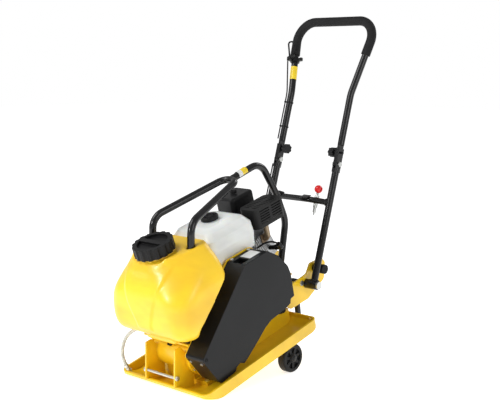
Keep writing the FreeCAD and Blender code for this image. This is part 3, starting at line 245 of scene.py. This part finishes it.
def paint(name, base, rough, edge, chip, coat=0.35, peel=0.00022, dust=0.10, shine=0.5):
    """Sprayed paint: orange peel, a little dust and thinner colour on the edges."""
    f = Finish(name)
    bright, deep = shades(base)
    cloud = f.noise(7.0, 4.0)
    soft, rim = f.rounded(edge)
    scuff = f.noise(160.0, 6.0, 0.7).between(0.60, 0.74) * f.noise(9.0, 2.0).between(0.5, 0.7)
    body = f.blend(cloud.between(0.3, 0.7), deep, bright)
    worn = f.blend(rim * 0.35, body, chip)
    grime = f.noise(26.0, 5.0, 0.65).between(0.5, 0.8)
    f.set(Base_Color=f.blend(grime * dust, worn, tuple(c * 0.55 + 0.008 for c in base)),
          Roughness=rough + 0.10 * grime + 0.14 * scuff + 0.05 * cloud,
          Coat_Weight=coat, Coat_Roughness=0.12, IOR=1.5, Specular_IOR_Level=shine)
    f.bump(f.noise(520.0, 2.0) + 0.25 * f.noise(90.0, 2.0) - 0.3 * scuff, 0.25, peel, soft)
    return f.material


def moulded(name, base, rough, edge, pebble=900.0, depth=0.00016, glow=0.0, coat=0.0, shine=0.5):
    """Moulded plastic: fine pebble grain, slow flow marks and rubbed edges."""
    f = Finish(name)
    bright, deep = shades(base, 1.10, 0.88)
    flow = f.noise(5.0, 3.0, 0.5, f.stretched((1.0, 1.0, 2.5)))
    soft, rim = f.rounded(edge)
    grain = f.cells(pebble)
    rubbed = f.noise(30.0, 6.0, 0.7).between(0.45, 0.75)
    body = f.blend(flow.between(0.3, 0.7), deep, bright)
    f.set(Base_Color=f.blend(rim * 0.3, body, tuple(c * 0.8 + 0.018 for c in base)),
          Roughness=rough + 0.10 * rubbed - 0.06 * rim, IOR=1.48, Coat_Weight=coat,
          Coat_Roughness=0.18, Specular_IOR_Level=shine)
    if glow:
        f.set(Subsurface_Weight=glow, Subsurface_Radius=(0.008, 0.006, 0.004), Subsurface_Scale=0.6)
    f.bump(grain * 0.6 + f.noise(240.0, 3.0), 0.3, depth, soft)
    return f.material


def rubber(name, base, rough=0.72, grain=420.0, depth=0.0004):
    """Rubber or foam: dull, dusty and finely pitted."""
    f = Finish(name)
    bright, deep = shades(base, 1.5, 0.7)
    soft, rim = f.rounded(0.0015)
    pits = f.cells(grain)
    dust = f.noise(14.0, 6.0, 0.7).between(0.45, 0.8)
    f.set(Base_Color=f.blend(dust * 0.25, f.blend(f.noise(60.0, 3.0), deep, bright), (0.04, 0.038, 0.036)),
          Roughness=rough + 0.12 * dust - 0.05 * rim, IOR=1.45, Specular_IOR_Level=0.25)
    f.bump(pits + 0.5 * f.noise(180.0, 4.0), 0.45, depth, soft)
    return f.material


def bare_metal(name, base, rough, along=(1.0, 1.0, 30.0), edge=0.0006, stain=(0.25, 0.22, 0.18), stained=0.1):
    """Turned, brushed or plated metal with fine lines and faint stains."""
    f = Finish(name)
    bright, deep = shades(base, 1.1, 0.82)
    lines = f.noise(90.0, 4.0, 0.6, f.stretched(along))
    soft, rim = f.rounded(edge)
    marks = f.noise(38.0, 6.0, 0.7).between(0.5, 0.8)
    body = f.blend(lines, deep, bright)
    f.set(Base_Color=f.blend(marks * stained, body, stain), Metallic=1.0,
          Roughness=rough + 0.16 * (lines - 0.5) + 0.18 * marks - 0.06 * rim)
    f.bump(lines + 0.3 * f.noise(600.0, 2.0), 0.16, 0.00015, soft)
    return f.material


def cast_metal(name, base, rough=0.5, metallic=0.9, depth=0.0006, oily=0.12):
    """Sand or die cast metal: grainy skin, soft corners and dark film in scattered patches."""
    f = Finish(name)
    bright, deep = shades(base, 1.15, 0.75)
    skin = f.noise(330.0, 5.0, 0.7)
    soft, rim = f.rounded(0.0018)
    film = f.noise(18.0, 5.0, 0.65).between(0.5, 0.8)
    f.set(Base_Color=f.blend(film * oily * 3.0, f.blend(skin, deep, bright), (0.05, 0.045, 0.04)),
          Metallic=metallic, Roughness=rough + 0.2 * (skin - 0.5) - 0.12 * rim - 0.1 * film)
    f.bump(skin + 0.6 * f.cells(210.0), 0.35, depth, soft)
    return f.material


def heat_stained(name):
    """Exhaust tube: straw, brown and violet bands along its run."""
    f = Finish(name)
    height = f.make("ShaderNodeSeparateXYZ", {}, {0: f.place}, out="Z")
    band = f.noise(45.0, 4.0) * 0.25 + height * 9.0
    share = f.make("ShaderNodeMath", {"operation": "FRACT"}, {0: band})
    tint = f.add("ShaderNodeValToRGB", {}, {"Fac": share})
    stops = tint.color_ramp.elements
    stops[0].position, stops[0].color = 0.0, (0.26, 0.19, 0.13, 1)
    stops[1].position, stops[1].color = 1.0, (0.24, 0.20, 0.17, 1)
    middle = stops.new(0.5)
    middle.color = (0.34, 0.26, 0.17, 1)
    f.set(Base_Color=Value(f, tint.outputs["Color"]), Metallic=0.9,
          Roughness=0.38 + 0.2 * f.noise(120.0, 4.0))
    f.bump(f.noise(300.0, 4.0), 0.3, 0.0003)
    return f.material


def milky_hose(name):
    """Soft clear hose gone milky, with water marks inside."""
    f = Finish(name)
    marks = f.noise(60.0, 4.0, 0.6).between(0.4, 0.7)
    f.set(Base_Color=f.blend(marks, (0.50, 0.50, 0.44), (0.66, 0.66, 0.60)), Roughness=0.22 + 0.15 * marks,
          Subsurface_Weight=0.3, Subsurface_Radius=(0.006, 0.006, 0.006), Subsurface_Scale=0.3, IOR=1.45,
          Coat_Weight=0.3, Coat_Roughness=0.1)
    f.bump(f.noise(60.0, 2.0), 0.1, 0.0001)
    return f.material


def blank_label(name, base):
    """Film label with nothing printed: faint creases."""
    f = Finish(name)
    crease = f.noise(80.0, 5.0, 0.6)
    f.set(Base_Color=f.blend(crease.between(0.3, 0.8), base, tuple(c * 0.9 for c in base)),
          Roughness=0.28 + 0.15 * crease, Coat_Weight=0.4, Coat_Roughness=0.08)
    f.bump(crease, 0.2, 0.0002)
    return f.material


def make_finishes(paints, sizes):
    edge = sizes.edge_round
    yellow, black = tuple(paints.frame_yellow), tuple(paints.tube_black)
    plastic = tuple(paints.plastic_black)
    return {
        "yellow_paint": paint("frame_yellow_paint", yellow, 0.30, edge, (0.75, 0.52, 0.08), 0.3),
        "black_paint": paint("tube_black_gloss", black, 0.20, edge * 0.7, (0.02, 0.02, 0.02), 0.12,
                             0.00003, 0.05, 0.35),
        "charcoal_paint": paint("guard_charcoal_satin", tuple(paints.guard_charcoal), 0.30, edge * 2.2,
                                (0.02, 0.02, 0.022), 0.04, 0.0002, 0.06, 0.18),
        "yellow_plastic": moulded("tank_yellow_plastic", tuple(paints.tank_yellow), 0.33, 0.003, 700.0,
                                  0.00025, 0.08, 0.15),
        "black_plastic": moulded("black_plastic", plastic, 0.34, 0.0015, shine=0.22),
        "tank_white": moulded("fuel_tank_white", tuple(paints.fuel_white), 0.30, 0.003, 600.0, 0.0002,
                              0.25, 0.1),
        "black_rubber": rubber("mount_rubber", (0.010, 0.010, 0.010)),
        "wheel_tyre": rubber("wheel_rubber", (0.008, 0.008, 0.0085), 0.48, 300.0, 0.0003),
        "steel": bare_metal("turned_steel", (0.56, 0.56, 0.57), 0.28, (30.0, 1.0, 1.0)),
        "zinc": bare_metal("zinc_plate", (0.62, 0.63, 0.61), 0.32, (0.6, 0.6, 0.6), 0.0008),
        "aluminium": cast_metal("cast_aluminium", (0.52, 0.53, 0.54), 0.42),
        "cast_iron": cast_metal("cast_iron", (0.16, 0.16, 0.165), 0.52, 0.85, 0.0009),
        "exhaust_steel": heat_stained("exhaust_heat_stain"),
        "red_plastic": moulded("ball_red_plastic", tuple(paints.ball_red), 0.18, 0.0005, 60.0, 0.00001,
                               0.0, 0.2),
        "hose_clear": milky_hose("hose_milky_clear"),
        "foam": rubber("grip_foam", (0.011, 0.011, 0.0115), 0.78, 640.0, 0.0007),
        "label_white": blank_label("label_white_film", (0.78, 0.79, 0.78)),
        "label_yellow": blank_label("label_yellow_film", (0.85, 0.62, 0.02)),
        "cap_black": moulded("cap_black_plastic", plastic, 0.42, 0.002, 500.0, 0.0002, shine=0.22),
        "silencer_black": paint("silencer_black", (0.008, 0.008, 0.008), 0.42, 0.001, (0.03, 0.03, 0.03),
                                0.04, 0.0003, 0.1, 0.22),
    }


FINISHES = {}
CLOSER_FINISH = {"water_tank_cap": "cap_black", "fuel_cap": "cap_black", "muffler": "silencer_black",
                 "muffler_guard": "silencer_black", "guard_back_plate": "yellow_paint"}


# ------------------------------------------------------------------ shop tools
def clear_selection():
    if bpy.context.object and bpy.context.object.mode != "OBJECT":
        bpy.ops.object.mode_set(mode="OBJECT")
    bpy.ops.object.select_all(action="DESELECT")


def take(obj):
    clear_selection()
    obj.select_set(True)
    bpy.context.view_layer.objects.active = obj
    return obj


def named(name):
    obj = bpy.context.object
    obj.name = name
    obj.data.name = name
    return obj


def settle(obj):
    """Puts the piece's place into its mesh and leaves the object at the origin."""
    take(obj)
    bpy.ops.object.transform_apply(location=True, rotation=True, scale=True)
    return obj


def modify(obj, kind, **settings):
    take(obj)
    tool = obj.modifiers.new(kind.lower(), kind)
    for key, value in settings.items():
        setattr(tool, key, value)
    bpy.ops.object.modifier_apply(modifier=tool.name)
    return obj


def smooth(obj, degrees=35):
    take(obj)
    bpy.ops.object.shade_smooth_by_angle(angle=math.radians(degrees))
    return obj


def finish_piece(obj, material, body, replaces=()):
    obj.data.materials.clear()
    obj.data.materials.append(FINISHES[material])
    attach(obj, body)
    if replaces:
        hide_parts(*replaces)
    return obj


def turned_to(axis):
    return Vector((0, 0, 1)).rotation_difference(axis).to_euler()


def ring_at(name, place, axis, radius, thick, flat=1.0, sides=32):
    """A thin ring round a tube, such as a weld bead or a clip."""
    clear_selection()
    bpy.ops.mesh.primitive_torus_add(major_radius=radius, minor_radius=thick, major_segments=sides,
                                     minor_segments=8, location=place, rotation=turned_to(axis))
    ring = named(name)
    ring.scale.z = flat
    return smooth(settle(ring))


def route(name, places, radius, order=3):
    """A smooth line through the air or along a tube, with a round section."""
    line = bpy.data.curves.new(name, "CURVE")
    line.dimensions = "3D"
    spline = line.splines.new("NURBS")
    spline.points.add(len(places) - 1)
    for point, place in zip(spline.points, places):
        point.co = (*place, 1.0)
    spline.order_u = order
    spline.use_endpoint_u = True
    line.bevel_depth = radius
    line.bevel_resolution = 5
    line.resolution_u = 14
    line.use_fill_caps = True
    obj = bpy.data.objects.new(name, line)
    bpy.context.scene.collection.objects.link(obj)
    return obj


def as_mesh(obj):
    take(obj)
    bpy.ops.object.convert(target="MESH")
    return bpy.context.object


# ------------------------------------------------------------------ camera and stage
# Name, place in metres, size and share of the key light's power
LAMPS = (("key", (-1.2, -2.2, 3.2), 2.0, 1.0), ("side", (3.2, -0.2, 1.6), 1.4, 0.35),
         ("strip", (-0.6, -3.2, 1.5), 0.35, 0.45), ("back", (0.4, 3.0, 2.6), 1.6, 0.5))


class COMPACTOR_OT_stage(bpy.types.Operator):
    """Camera, pale floor and soft studio light"""
    bl_idname = "compactor.stage"
    bl_label = "Stage and camera"

    def execute(self, context):
        settings = context.scene.compactor_camera
        turn = Matrix.Rotation(NOSE_DOWN - math.radians(CAMERA_NOSE_DOWN), 4, "X")
        shift = Matrix.Translation(Vector(SOLE["pos_m"]))
        camera = bpy.data.objects.new("camera", bpy.data.cameras.new("camera"))
        place = Matrix.Translation(CAMERA_PLACE)
        round_z = Matrix.Rotation(math.radians(CAMERA_TURN), 4, "Z")
        down = Matrix.Rotation(math.radians(90 - CAMERA_DROP), 4, "X")
        camera.matrix_world = shift @ turn @ place @ (round_z @ down)
        camera.data.lens = settings.lens
        camera.data.sensor_width = 36
        camera.data.clip_end = 60
        context.scene.collection.objects.link(camera)
        context.scene.camera = camera

        clear_selection()
        bpy.ops.mesh.primitive_plane_add(size=40, location=(0, 0, -0.0005))
        floor = named("studio_floor")
        f = Finish("studio_floor_pale")
        cloud = f.noise(1.5, 3.0)
        f.set(Base_Color=f.blend(cloud, (0.86, 0.86, 0.86), (0.90, 0.90, 0.90)), Roughness=0.9 + 0.05 * cloud,
              Emission_Color=(1, 1, 1, 1), Emission_Strength=0.72, Specular_IOR_Level=0.1)
        floor.data.materials.append(f.material)

        world = bpy.data.worlds.new("studio")
        context.scene.world = world
        world.use_nodes = True
        tree = world.node_tree
        tree.nodes.clear()
        sky = tree.nodes.new("ShaderNodeBackground")
        sky.inputs["Strength"].default_value = settings.sky
        backdrop = tree.nodes.new("ShaderNodeBackground")
        backdrop.inputs["Strength"].default_value = 1.0
        for node in (sky, backdrop):
            node.inputs["Color"].default_value = (1, 1, 1, 1)
        path = tree.nodes.new("ShaderNodeLightPath")
        mix = tree.nodes.new("ShaderNodeMixShader")
        output = tree.nodes.new("ShaderNodeOutputWorld")
        tree.links.new(path.outputs["Is Camera Ray"], mix.inputs[0])
        tree.links.new(sky.outputs[0], mix.inputs[1])
        tree.links.new(backdrop.outputs[0], mix.inputs[2])
        tree.links.new(mix.outputs[0], output.inputs[0])

        for name, spot, size, share in LAMPS:
            lamp = bpy.data.lights.new(name, "AREA")
            lamp.size = size
            lamp.energy = settings.key * share
            obj = bpy.data.objects.new(name, lamp)
            obj.location = spot
            obj.rotation_euler = (Vector((0, 0, 0.5)) - Vector(spot)).to_track_quat("-Z", "Y").to_euler()
            context.scene.collection.objects.link(obj)
        context.scene.view_settings.view_transform = "Standard"
        return {"FINISHED"}


# ------------------------------------------------------------------ pieces
HOSE_ROUTE = [(-84, -222, 197), (-124, -233, 193), (-166, -255, 166), (-187, -270, 122),
              (-190, -276, 78), (-182, -272, 47)]


class COMPACTOR_OT_hose(bpy.types.Operator):
    """Milky water hose from the tank's outlet down to the sole plate, with its two clips"""
    bl_idname = "compactor.hose"
    bl_label = "Water hose"

    def execute(self, context):
        bore = context.scene.compactor_sizes.hose_bore
        places = [at_plate(*p) for p in HOSE_ROUTE]
        hose = route("sprinkler_hose", places, bore)
        finish_piece(hose, "hose_clear", "machine", ["water_hose"])
        for name, end, after in (("hose_clip_top", 0, 1), ("hose_clip_bottom", -1, -2)):
            axis = (places[after] - places[end]).normalized()
            clear_selection()
            bpy.ops.mesh.primitive_cylinder_add(vertices=40, radius=bore + 0.0012, depth=0.008,
                                                end_fill_type="NOTHING", location=places[end] + axis * 0.008,
                                                rotation=turned_to(axis))
            clip = named(name)
            modify(clip, "SOLIDIFY", thickness=0.0011, offset=1.0)
            settle(clip)
            modify(clip, "BEVEL", width=0.0003, segments=2)
            finish_piece(smooth(clip), "zinc", "machine")
        return {"FINISHED"}


class COMPACTOR_OT_finishes(bpy.types.Operator):
    """Gives every part that came with the frame its worked finish"""
    bl_idname = "compactor.finishes"
    bl_label = "Finishes"

    def execute(self, context):
        FINISHES.update(make_finishes(context.scene.compactor_paints, context.scene.compactor_sizes))
        slots = {s["node"]: s["material_slot"] for s in frame["record"]["subparts"]}
        for node, obj in frame["nodes"].items():
            obj.data.materials.clear()
            obj.data.materials.append(FINISHES[CLOSER_FINISH.get(node, slots[node])])
        return {"FINISHED"}


def panel_share(local, half_top=0.104, half_low=0.034):
    """How much a point on the tank's front belongs to the raised panel, 0 to 1."""
    if local.y > -0.15 or not 0.20 < local.z < 0.47:
        return 0.0
    height = min(max((local.z - 0.262) / 0.178, 0.0), 1.0)
    half = half_low + (half_top - half_low) * height
    side = min(max((half - abs(local.x)) / 0.012 + 0.5, 0.0), 1.0)
    low = min(max((local.z - 0.232) / 0.016, 0.0), 1.0)
    top = min(max((0.452 - local.z) / 0.03, 0.0), 1.0)
    share = side * low * top
    return share * share * (3 - 2 * share)


class COMPACTOR_OT_water_tank(bpy.types.Operator):
    """Moulded water tank: softened all over, with its raised front panel"""
    bl_idname = "compactor.water_tank"
    bl_label = "Water tank"

    def execute(self, context):
        sizes = context.scene.compactor_sizes
        source = frame["nodes"]["water_tank"]
        tank = bpy.data.objects.new("tank_moulding", source.data.copy())
        context.scene.collection.objects.link(tank)
        modify(tank, "WELD", merge_threshold=0.00002)
        modify(tank, "REMESH", mode="VOXEL", voxel_size=0.0034, adaptivity=0.0)
        modify(tank, "SMOOTH", factor=0.5, iterations=sizes.tank_smoothing)
        to_plate = ON_GROUND.inverted()
        front = tank.vertex_groups.new(name="front")
        for vertex in tank.data.vertices:
            local = to_plate @ vertex.co
            near_neck = math.hypot(local.x, local.y + 0.182) < 0.085 and local.z > 0.42
            if not near_neck:
                front.add([vertex.index], min(max((-0.13 - local.y) / 0.05, 0.0), 1.0), "REPLACE")
        modify(tank, "SMOOTH", factor=0.5, iterations=sizes.front_smoothing, vertex_group="front")
        shares = [panel_share(to_plate @ vertex.co) * sizes.panel_rise for vertex in tank.data.vertices]
        raised = [vertex.co + vertex.normal * rise for vertex, rise in zip(tank.data.vertices, shares)]
        tank.data.vertices.foreach_set("co", [number for place in raised for number in place])
        tank.data.update()
        modify(tank, "SMOOTH", factor=0.5, iterations=2)
        smooth(tank, 60)
        finish_piece(tank, "yellow_plastic", "machine", ["water_tank"])
        return {"FINISHED"}


class COMPACTOR_OT_labels(bpy.types.Operator):
    """Blank film labels on the cage spine, the handle and the belt guard"""
    bl_idname = "compactor.labels"
    bl_label = "Blank labels"

    def tube_label(self, name, start, end, radius, material, body, facing):
        axis = (end - start).normalized()
        clear_selection()
        bpy.ops.mesh.primitive_cylinder_add(vertices=48, radius=radius, depth=(end - start).length,
                                            end_fill_type="NOTHING", location=(start + end) / 2,
                                            rotation=turned_to(axis))
        label = settle(named(name))
        side = facing.normalized()
        bpy.ops.object.mode_set(mode="EDIT")
        bpy.ops.mesh.select_all(action="SELECT")
        bpy.ops.mesh.bisect(plane_co=(start + end) / 2 - side * radius * 0.35, plane_no=side,
                            clear_inner=True)
        bpy.ops.object.mode_set(mode="OBJECT")
        modify(label, "SOLIDIFY", thickness=0.0004, offset=1.0)
        return finish_piece(smooth(label), material, body)

    def execute(self, context):
        kink, corner = on_handle(BEND_S, -HANDLE_X), at_plate(-190, 908, 938)
        self.tube_label("handle_label", kink.lerp(corner, 0.18), kink.lerp(corner, 0.36), TUBE_LABEL_R,
                        "label_yellow", "handle_upper", Vector((0.8, -0.6, 0.1)))
        facing = Vector((0.6, -0.3, 0.8))
        ends = [at_plate(0, y, z) for y, z in ((240, 570.8), (258, 572.0), (283, 573.6))]
        self.tube_label("spine_label_white", ends[0], ends[1], TUBE_LABEL_R, "label_white", "machine",
                        facing)
        self.tube_label("spine_label_yellow", ends[1], ends[2], TUBE_LABEL_R, "label_yellow", "machine",
                        facing)
        clear_selection()
        bpy.ops.mesh.primitive_cube_add(size=1, location=at_plate(150, 84, 362.25),
                                        rotation=(NOSE_DOWN, 0, 0), scale=(0.046, 0.052, 0.0005))
        label = settle(named("guard_label"))
        modify(label, "BEVEL", width=0.0002, segments=2)
        finish_piece(label, "label_white", "machine")
        return {"FINISHED"}


class COMPACTOR_OT_rope(bpy.types.Operator):
    """Starter rope: a short straight cord along the pull direction, in place of the frame's rope"""
    bl_idname = "compactor.rope"
    bl_label = "Starter rope"

    def execute(self, context):
        pull = Vector(next(j for j in frame["joints"] if j["name"] == "recoil_pull")["axis"])
        low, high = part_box("recoil_rope")
        middle = (Vector(low) + Vector(high)) / 2
        clear_selection()
        bpy.ops.mesh.primitive_cylinder_add(vertices=20, radius=0.0023, depth=0.029, end_fill_type="TRIFAN",
                                            location=middle, rotation=turned_to(pull))
        rope = settle(named("starter_rope"))
        bpy.ops.object.mode_set(mode="EDIT")
        bpy.ops.mesh.select_all(action="SELECT")
        bpy.ops.mesh.subdivide(number_cuts=8)
        bpy.ops.object.mode_set(mode="OBJECT")
        rope.data.materials.append(FINISHES["foam"])
        smooth(rope)
        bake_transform(rope)
        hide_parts("recoil_rope")
        return {"FINISHED"}


def bar_between(name, start, end, radius, sides=32):
    """A straight round bar between two places."""
    clear_selection()
    bpy.ops.mesh.primitive_cylinder_add(vertices=sides, radius=radius, depth=(end - start).length,
                                        location=(start + end) / 2,
                                        rotation=turned_to((end - start).normalized()))
    return settle(named(name))


def block_at(name, centre, size, rise, rounding):
    """A block with softened edges; the centre and size are in plate millimetres."""
    clear_selection()
    bpy.ops.mesh.primitive_cube_add(size=1, location=at_plate(*centre), rotation=(NOSE_DOWN + rise, 0, 0),
                                    scale=[side * MM for side in size])
    block = settle(named(name))
    modify(block, "BEVEL", width=rounding, segments=3)
    return smooth(block)


class COMPACTOR_OT_plunger(bpy.types.Operator):
    """Glossy red pull ball on its steel stem with a collar"""
    bl_idname = "compactor.plunger"
    bl_label = "Lock plunger"

    def execute(self, context):
        up = handle_up()
        base = on_handle(CROSSBAR_S, 96, 20)
        stem = bar_between("plunger_stem", base - up * 0.054, base + up * 0.030, 0.003)
        modify(stem, "BEVEL", width=0.0006, segments=2)
        finish_piece(smooth(stem), "zinc", "plunger", ["plunger_knob"])
        clear_selection()
        bpy.ops.mesh.primitive_uv_sphere_add(segments=48, ring_count=32, radius=0.015,
                                             location=base + up * 0.042, rotation=turned_to(up))
        ball = settle(named("plunger_ball"))
        finish_piece(smooth(ball, 60), "red_plastic", "plunger", ["plunger_knob"])
        clear_selection()
        bpy.ops.mesh.primitive_cylinder_add(vertices=6, radius=0.0056, depth=0.004,
                                            location=base + up * 0.0245, rotation=turned_to(up))
        nut = settle(named("plunger_lock_nut"))
        modify(nut, "BEVEL", width=0.0005, segments=2)
        finish_piece(smooth(nut), "zinc", "plunger")
        return {"FINISHED"}


class COMPACTOR_OT_welds(bpy.types.Operator):
    """Rippled weld beads where the tubes meet their fittings"""
    bl_idname = "compactor.welds"
    bl_label = "Weld beads"

    def bead(self, name, place, axis, radius, thick, body, flat=1.0):
        ring = ring_at(name, Vector((0, 0, 0)), Vector((0, 0, 1)), radius, thick, flat, 72)
        for vertex in ring.data.vertices:
            angle = math.atan2(vertex.co.y, vertex.co.x)
            ripple = 1 + 0.035 * math.sin(18 * angle) + 0.02 * math.sin(7 * angle + 1)
            vertex.co.x *= ripple
            vertex.co.y *= ripple
        ring.matrix_world = Matrix.Translation(place) @ turned_to(axis).to_matrix().to_4x4()
        return finish_piece(settle(ring), "black_paint", body)

    def execute(self, context):
        up = handle_up()
        for side, word in ((1, "right"), (-1, "left")):
            end = on_handle(CROSSBAR_S, HANDLE_X * side)
            inner = on_handle(CROSSBAR_S, 72 * side, CROSSBAR_BOW)
            along = (inner - end).normalized()
            self.bead(f"crossbar_weld_{word}", end + along * 0.0148, along, 0.0112, 0.0022, "handle_lower")
            self.bead(f"sleeve_weld_{word}", on_handle(17, HANDLE_X * side), up, 0.0133, 0.0024,
                      "handle_lower")
            foot, head = at_plate(92 * side, -194, 172), at_plate(92 * side, -87, 538)
            rise = (head - foot).normalized()
            self.bead(f"hoop_weld_{word}", foot + rise * 0.0075, rise, 0.0127, 0.0024, "machine")
        low, high = at_plate(0, 353, 153), at_plate(0, 432, 322)
        rise = (high - low).normalized()
        self.bead("spine_foot_weld", low + rise * 0.011, rise, 0.0127, 0.0026, "machine")
        return {"FINISHED"}


class COMPACTOR_OT_crossbar(bpy.types.Operator):
    """Latch plate and rubber rest on the handle's crossbar"""
    bl_idname = "compactor.crossbar"
    bl_label = "Crossbar fittings"

    def execute(self, context):
        spot = ON_GROUND.inverted() @ on_handle(CROSSBAR_S, 62, CROSSBAR_BOW)
        place = (spot.x / MM, spot.y / MM - 5, spot.z / MM + 12.5)
        plate = block_at("latch_plate", place, (34, 26, 3), 0.0, 0.0007)
        finish_piece(plate, "black_paint", "handle_lower")
        spot = ON_GROUND.inverted() @ on_handle(CROSSBAR_S, -64, CROSSBAR_BOW)
        place = (spot.x / MM, spot.y / MM, spot.z / MM + 7)
        rest = block_at("crossbar_rest", place, (15, 28, 24), -HANDLE_LEAN, 0.0025)
        finish_piece(rest, "black_rubber", "handle_lower")
        return {"FINISHED"}


def on_plate(obj):
    """Carries a piece drawn level, in plate metres, to where the plate really stands."""
    obj.matrix_world = ON_GROUND @ obj.matrix_world
    return settle(obj)


class COMPACTOR_OT_fuel_cap(bpy.types.Operator):
    """Low fuel cap with a ring of ribs round a dished middle"""
    bl_idname = "compactor.fuel_cap"
    bl_label = "Fuel cap"

    def execute(self, context):
        centre = Vector((0, 0.075, 0.4808))
        clear_selection()
        bpy.ops.mesh.primitive_cylinder_add(vertices=72, radius=0.031, depth=0.0136, location=centre)
        cap = on_plate(named("fuel_cap_lid"))
        modify(cap, "BEVEL", width=0.0028, segments=4, limit_method="ANGLE")
        finish_piece(smooth(cap), "cap_black", "fuel_cap_body", ["fuel_cap"])
        clear_selection()
        for step in range(12):
            angle = math.tau * step / 12
            spot = centre + Vector((0.0165 * math.cos(angle), 0.0165 * math.sin(angle), 0.0074))
            bpy.ops.mesh.primitive_cube_add(size=1, location=spot, rotation=(0, 0, angle),
                                            scale=(0.017, 0.0034, 0.003))
            rib = on_plate(named(f"fuel_cap_rib_{step + 1}"))
            modify(rib, "BEVEL", width=0.0008, segments=2)
            finish_piece(smooth(rib), "cap_black", "fuel_cap_body")
        clear_selection()
        bpy.ops.mesh.primitive_torus_add(major_radius=0.0285, minor_radius=0.0016, major_segments=64,
                                         minor_segments=10, location=centre + Vector((0, 0, 0.0066)))
        finish_piece(smooth(on_plate(named("fuel_cap_rim"))), "cap_black", "fuel_cap_body")
        return {"FINISHED"}


class COMPACTOR_OT_guard_trim(bpy.types.Operator):
    """Grommet in the guard's nose and hub caps over the axle ends"""
    bl_idname = "compactor.guard_trim"
    bl_label = "Guard and hub trim"

    def execute(self, context):
        clear_selection()
        bpy.ops.mesh.primitive_torus_add(major_radius=0.0045, minor_radius=0.0016, major_segments=40,
                                         minor_segments=10, location=(0.192, -0.232, 0.140),
                                         rotation=(0, math.pi / 2, 0))
        finish_piece(smooth(on_plate(named("guard_grommet"))), "black_rubber", "machine")
        for side, word, body in ((1, "right", "wheel_r"), (-1, "left", "wheel_l")):
            clear_selection()
            bpy.ops.mesh.primitive_uv_sphere_add(segments=40, ring_count=20, radius=0.0135,
                                                 location=(0.1925 * side, 0.145, -0.054), scale=(0.42, 1, 1))
            cap = on_plate(named(f"hub_cap_{word}"))
            finish_piece(smooth(cap, 60), "black_plastic", body)
        return {"FINISHED"}


class COMPACTOR_OT_engine_lines(bpy.types.Operator):
    """Plug cap and lead, switch wire, fuel line and the throttle cable's last run"""
    bl_idname = "compactor.engine_lines"
    bl_label = "Engine lines"

    def line(self, name, places, radius, material="black_plastic", body="machine"):
        run = as_mesh(route(name, [at_plate(*p) for p in places], radius))
        modify(run, "WELD", merge_threshold=0.00001)
        smooth(run, 60)
        if body:
            finish_piece(run, material, body)
        return run

    def execute(self, context):
        self.line("plug_boot", [(84, 279, 295), (101, 279, 296), (110, 274, 304), (108, 262, 318)], 0.0085)
        self.line("plug_lead", [(109, 266, 314), (106, 250, 332), (88, 226, 336), (72, 200, 326),
                                (60, 180, 318)], 0.0035)
        self.line("switch_wire", [(-49, 22, 270), (-49, 26, 256), (-60, 30, 240), (-78, 34, 232)], 0.0022)
        self.line("fuel_line", [(-60, 176, 336), (-66, 200, 322), (-72, 226, 322), (-74, 244, 330)], 0.0035)
        places = [(-153, 396, 188), (-153, 372, 158), (-150, 340, 178), (-128, 312, 250), (-104, 300, 330),
                  (-84, 284, 364), (-74, 268, 366)]
        cable = self.line("throttle_cable_run", places, 0.0025, body=None)
        cable.data.materials.append(FINISHES["black_plastic"])
        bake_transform(cable)
        return {"FINISHED"}


OPERATORS = [COMPACTOR_OT_stage, COMPACTOR_OT_finishes, COMPACTOR_OT_hose, COMPACTOR_OT_water_tank,
             COMPACTOR_OT_labels, COMPACTOR_OT_rope, COMPACTOR_OT_plunger, COMPACTOR_OT_welds,
             COMPACTOR_OT_crossbar, COMPACTOR_OT_fuel_cap, COMPACTOR_OT_guard_trim,
             COMPACTOR_OT_engine_lines]


class COMPACTOR_PT_panel(bpy.types.Panel):
    """The workshop's buttons and settings"""
    bl_idname = "COMPACTOR_PT_panel"
    bl_label = "Plate Compactor"
    bl_space_type = "VIEW_3D"
    bl_region_type = "UI"
    bl_category = "Compactor"

    def draw(self, context):
        for group in ("compactor_paints", "compactor_sizes", "compactor_camera"):
            settings = getattr(context.scene, group)
            column = self.layout.column(align=True)
            for name in settings.__annotations__:
                column.prop(settings, name)
        for operator in OPERATORS:
            self.layout.operator(operator.bl_idname)


GROUPS = {"compactor_paints": CompactorPaints, "compactor_sizes": CompactorSizes,
          "compactor_camera": CompactorCamera}


def register():
    for cls in (*GROUPS.values(), *OPERATORS, COMPACTOR_PT_panel):
        bpy.utils.register_class(cls)
    for name, group in GROUPS.items():
        setattr(bpy.types.Scene, name, bpy.props.PointerProperty(type=group))


def unregister():
    for name in GROUPS:
        delattr(bpy.types.Scene, name)
    for cls in reversed((*GROUPS.values(), *OPERATORS, COMPACTOR_PT_panel)):
        bpy.utils.unregister_class(cls)


def main():
    register()
    for operator in OPERATORS:
        family, name = operator.bl_idname.split(".")
        getattr(getattr(bpy.ops, family), name)()


if __name__ == "__main__":
    main()
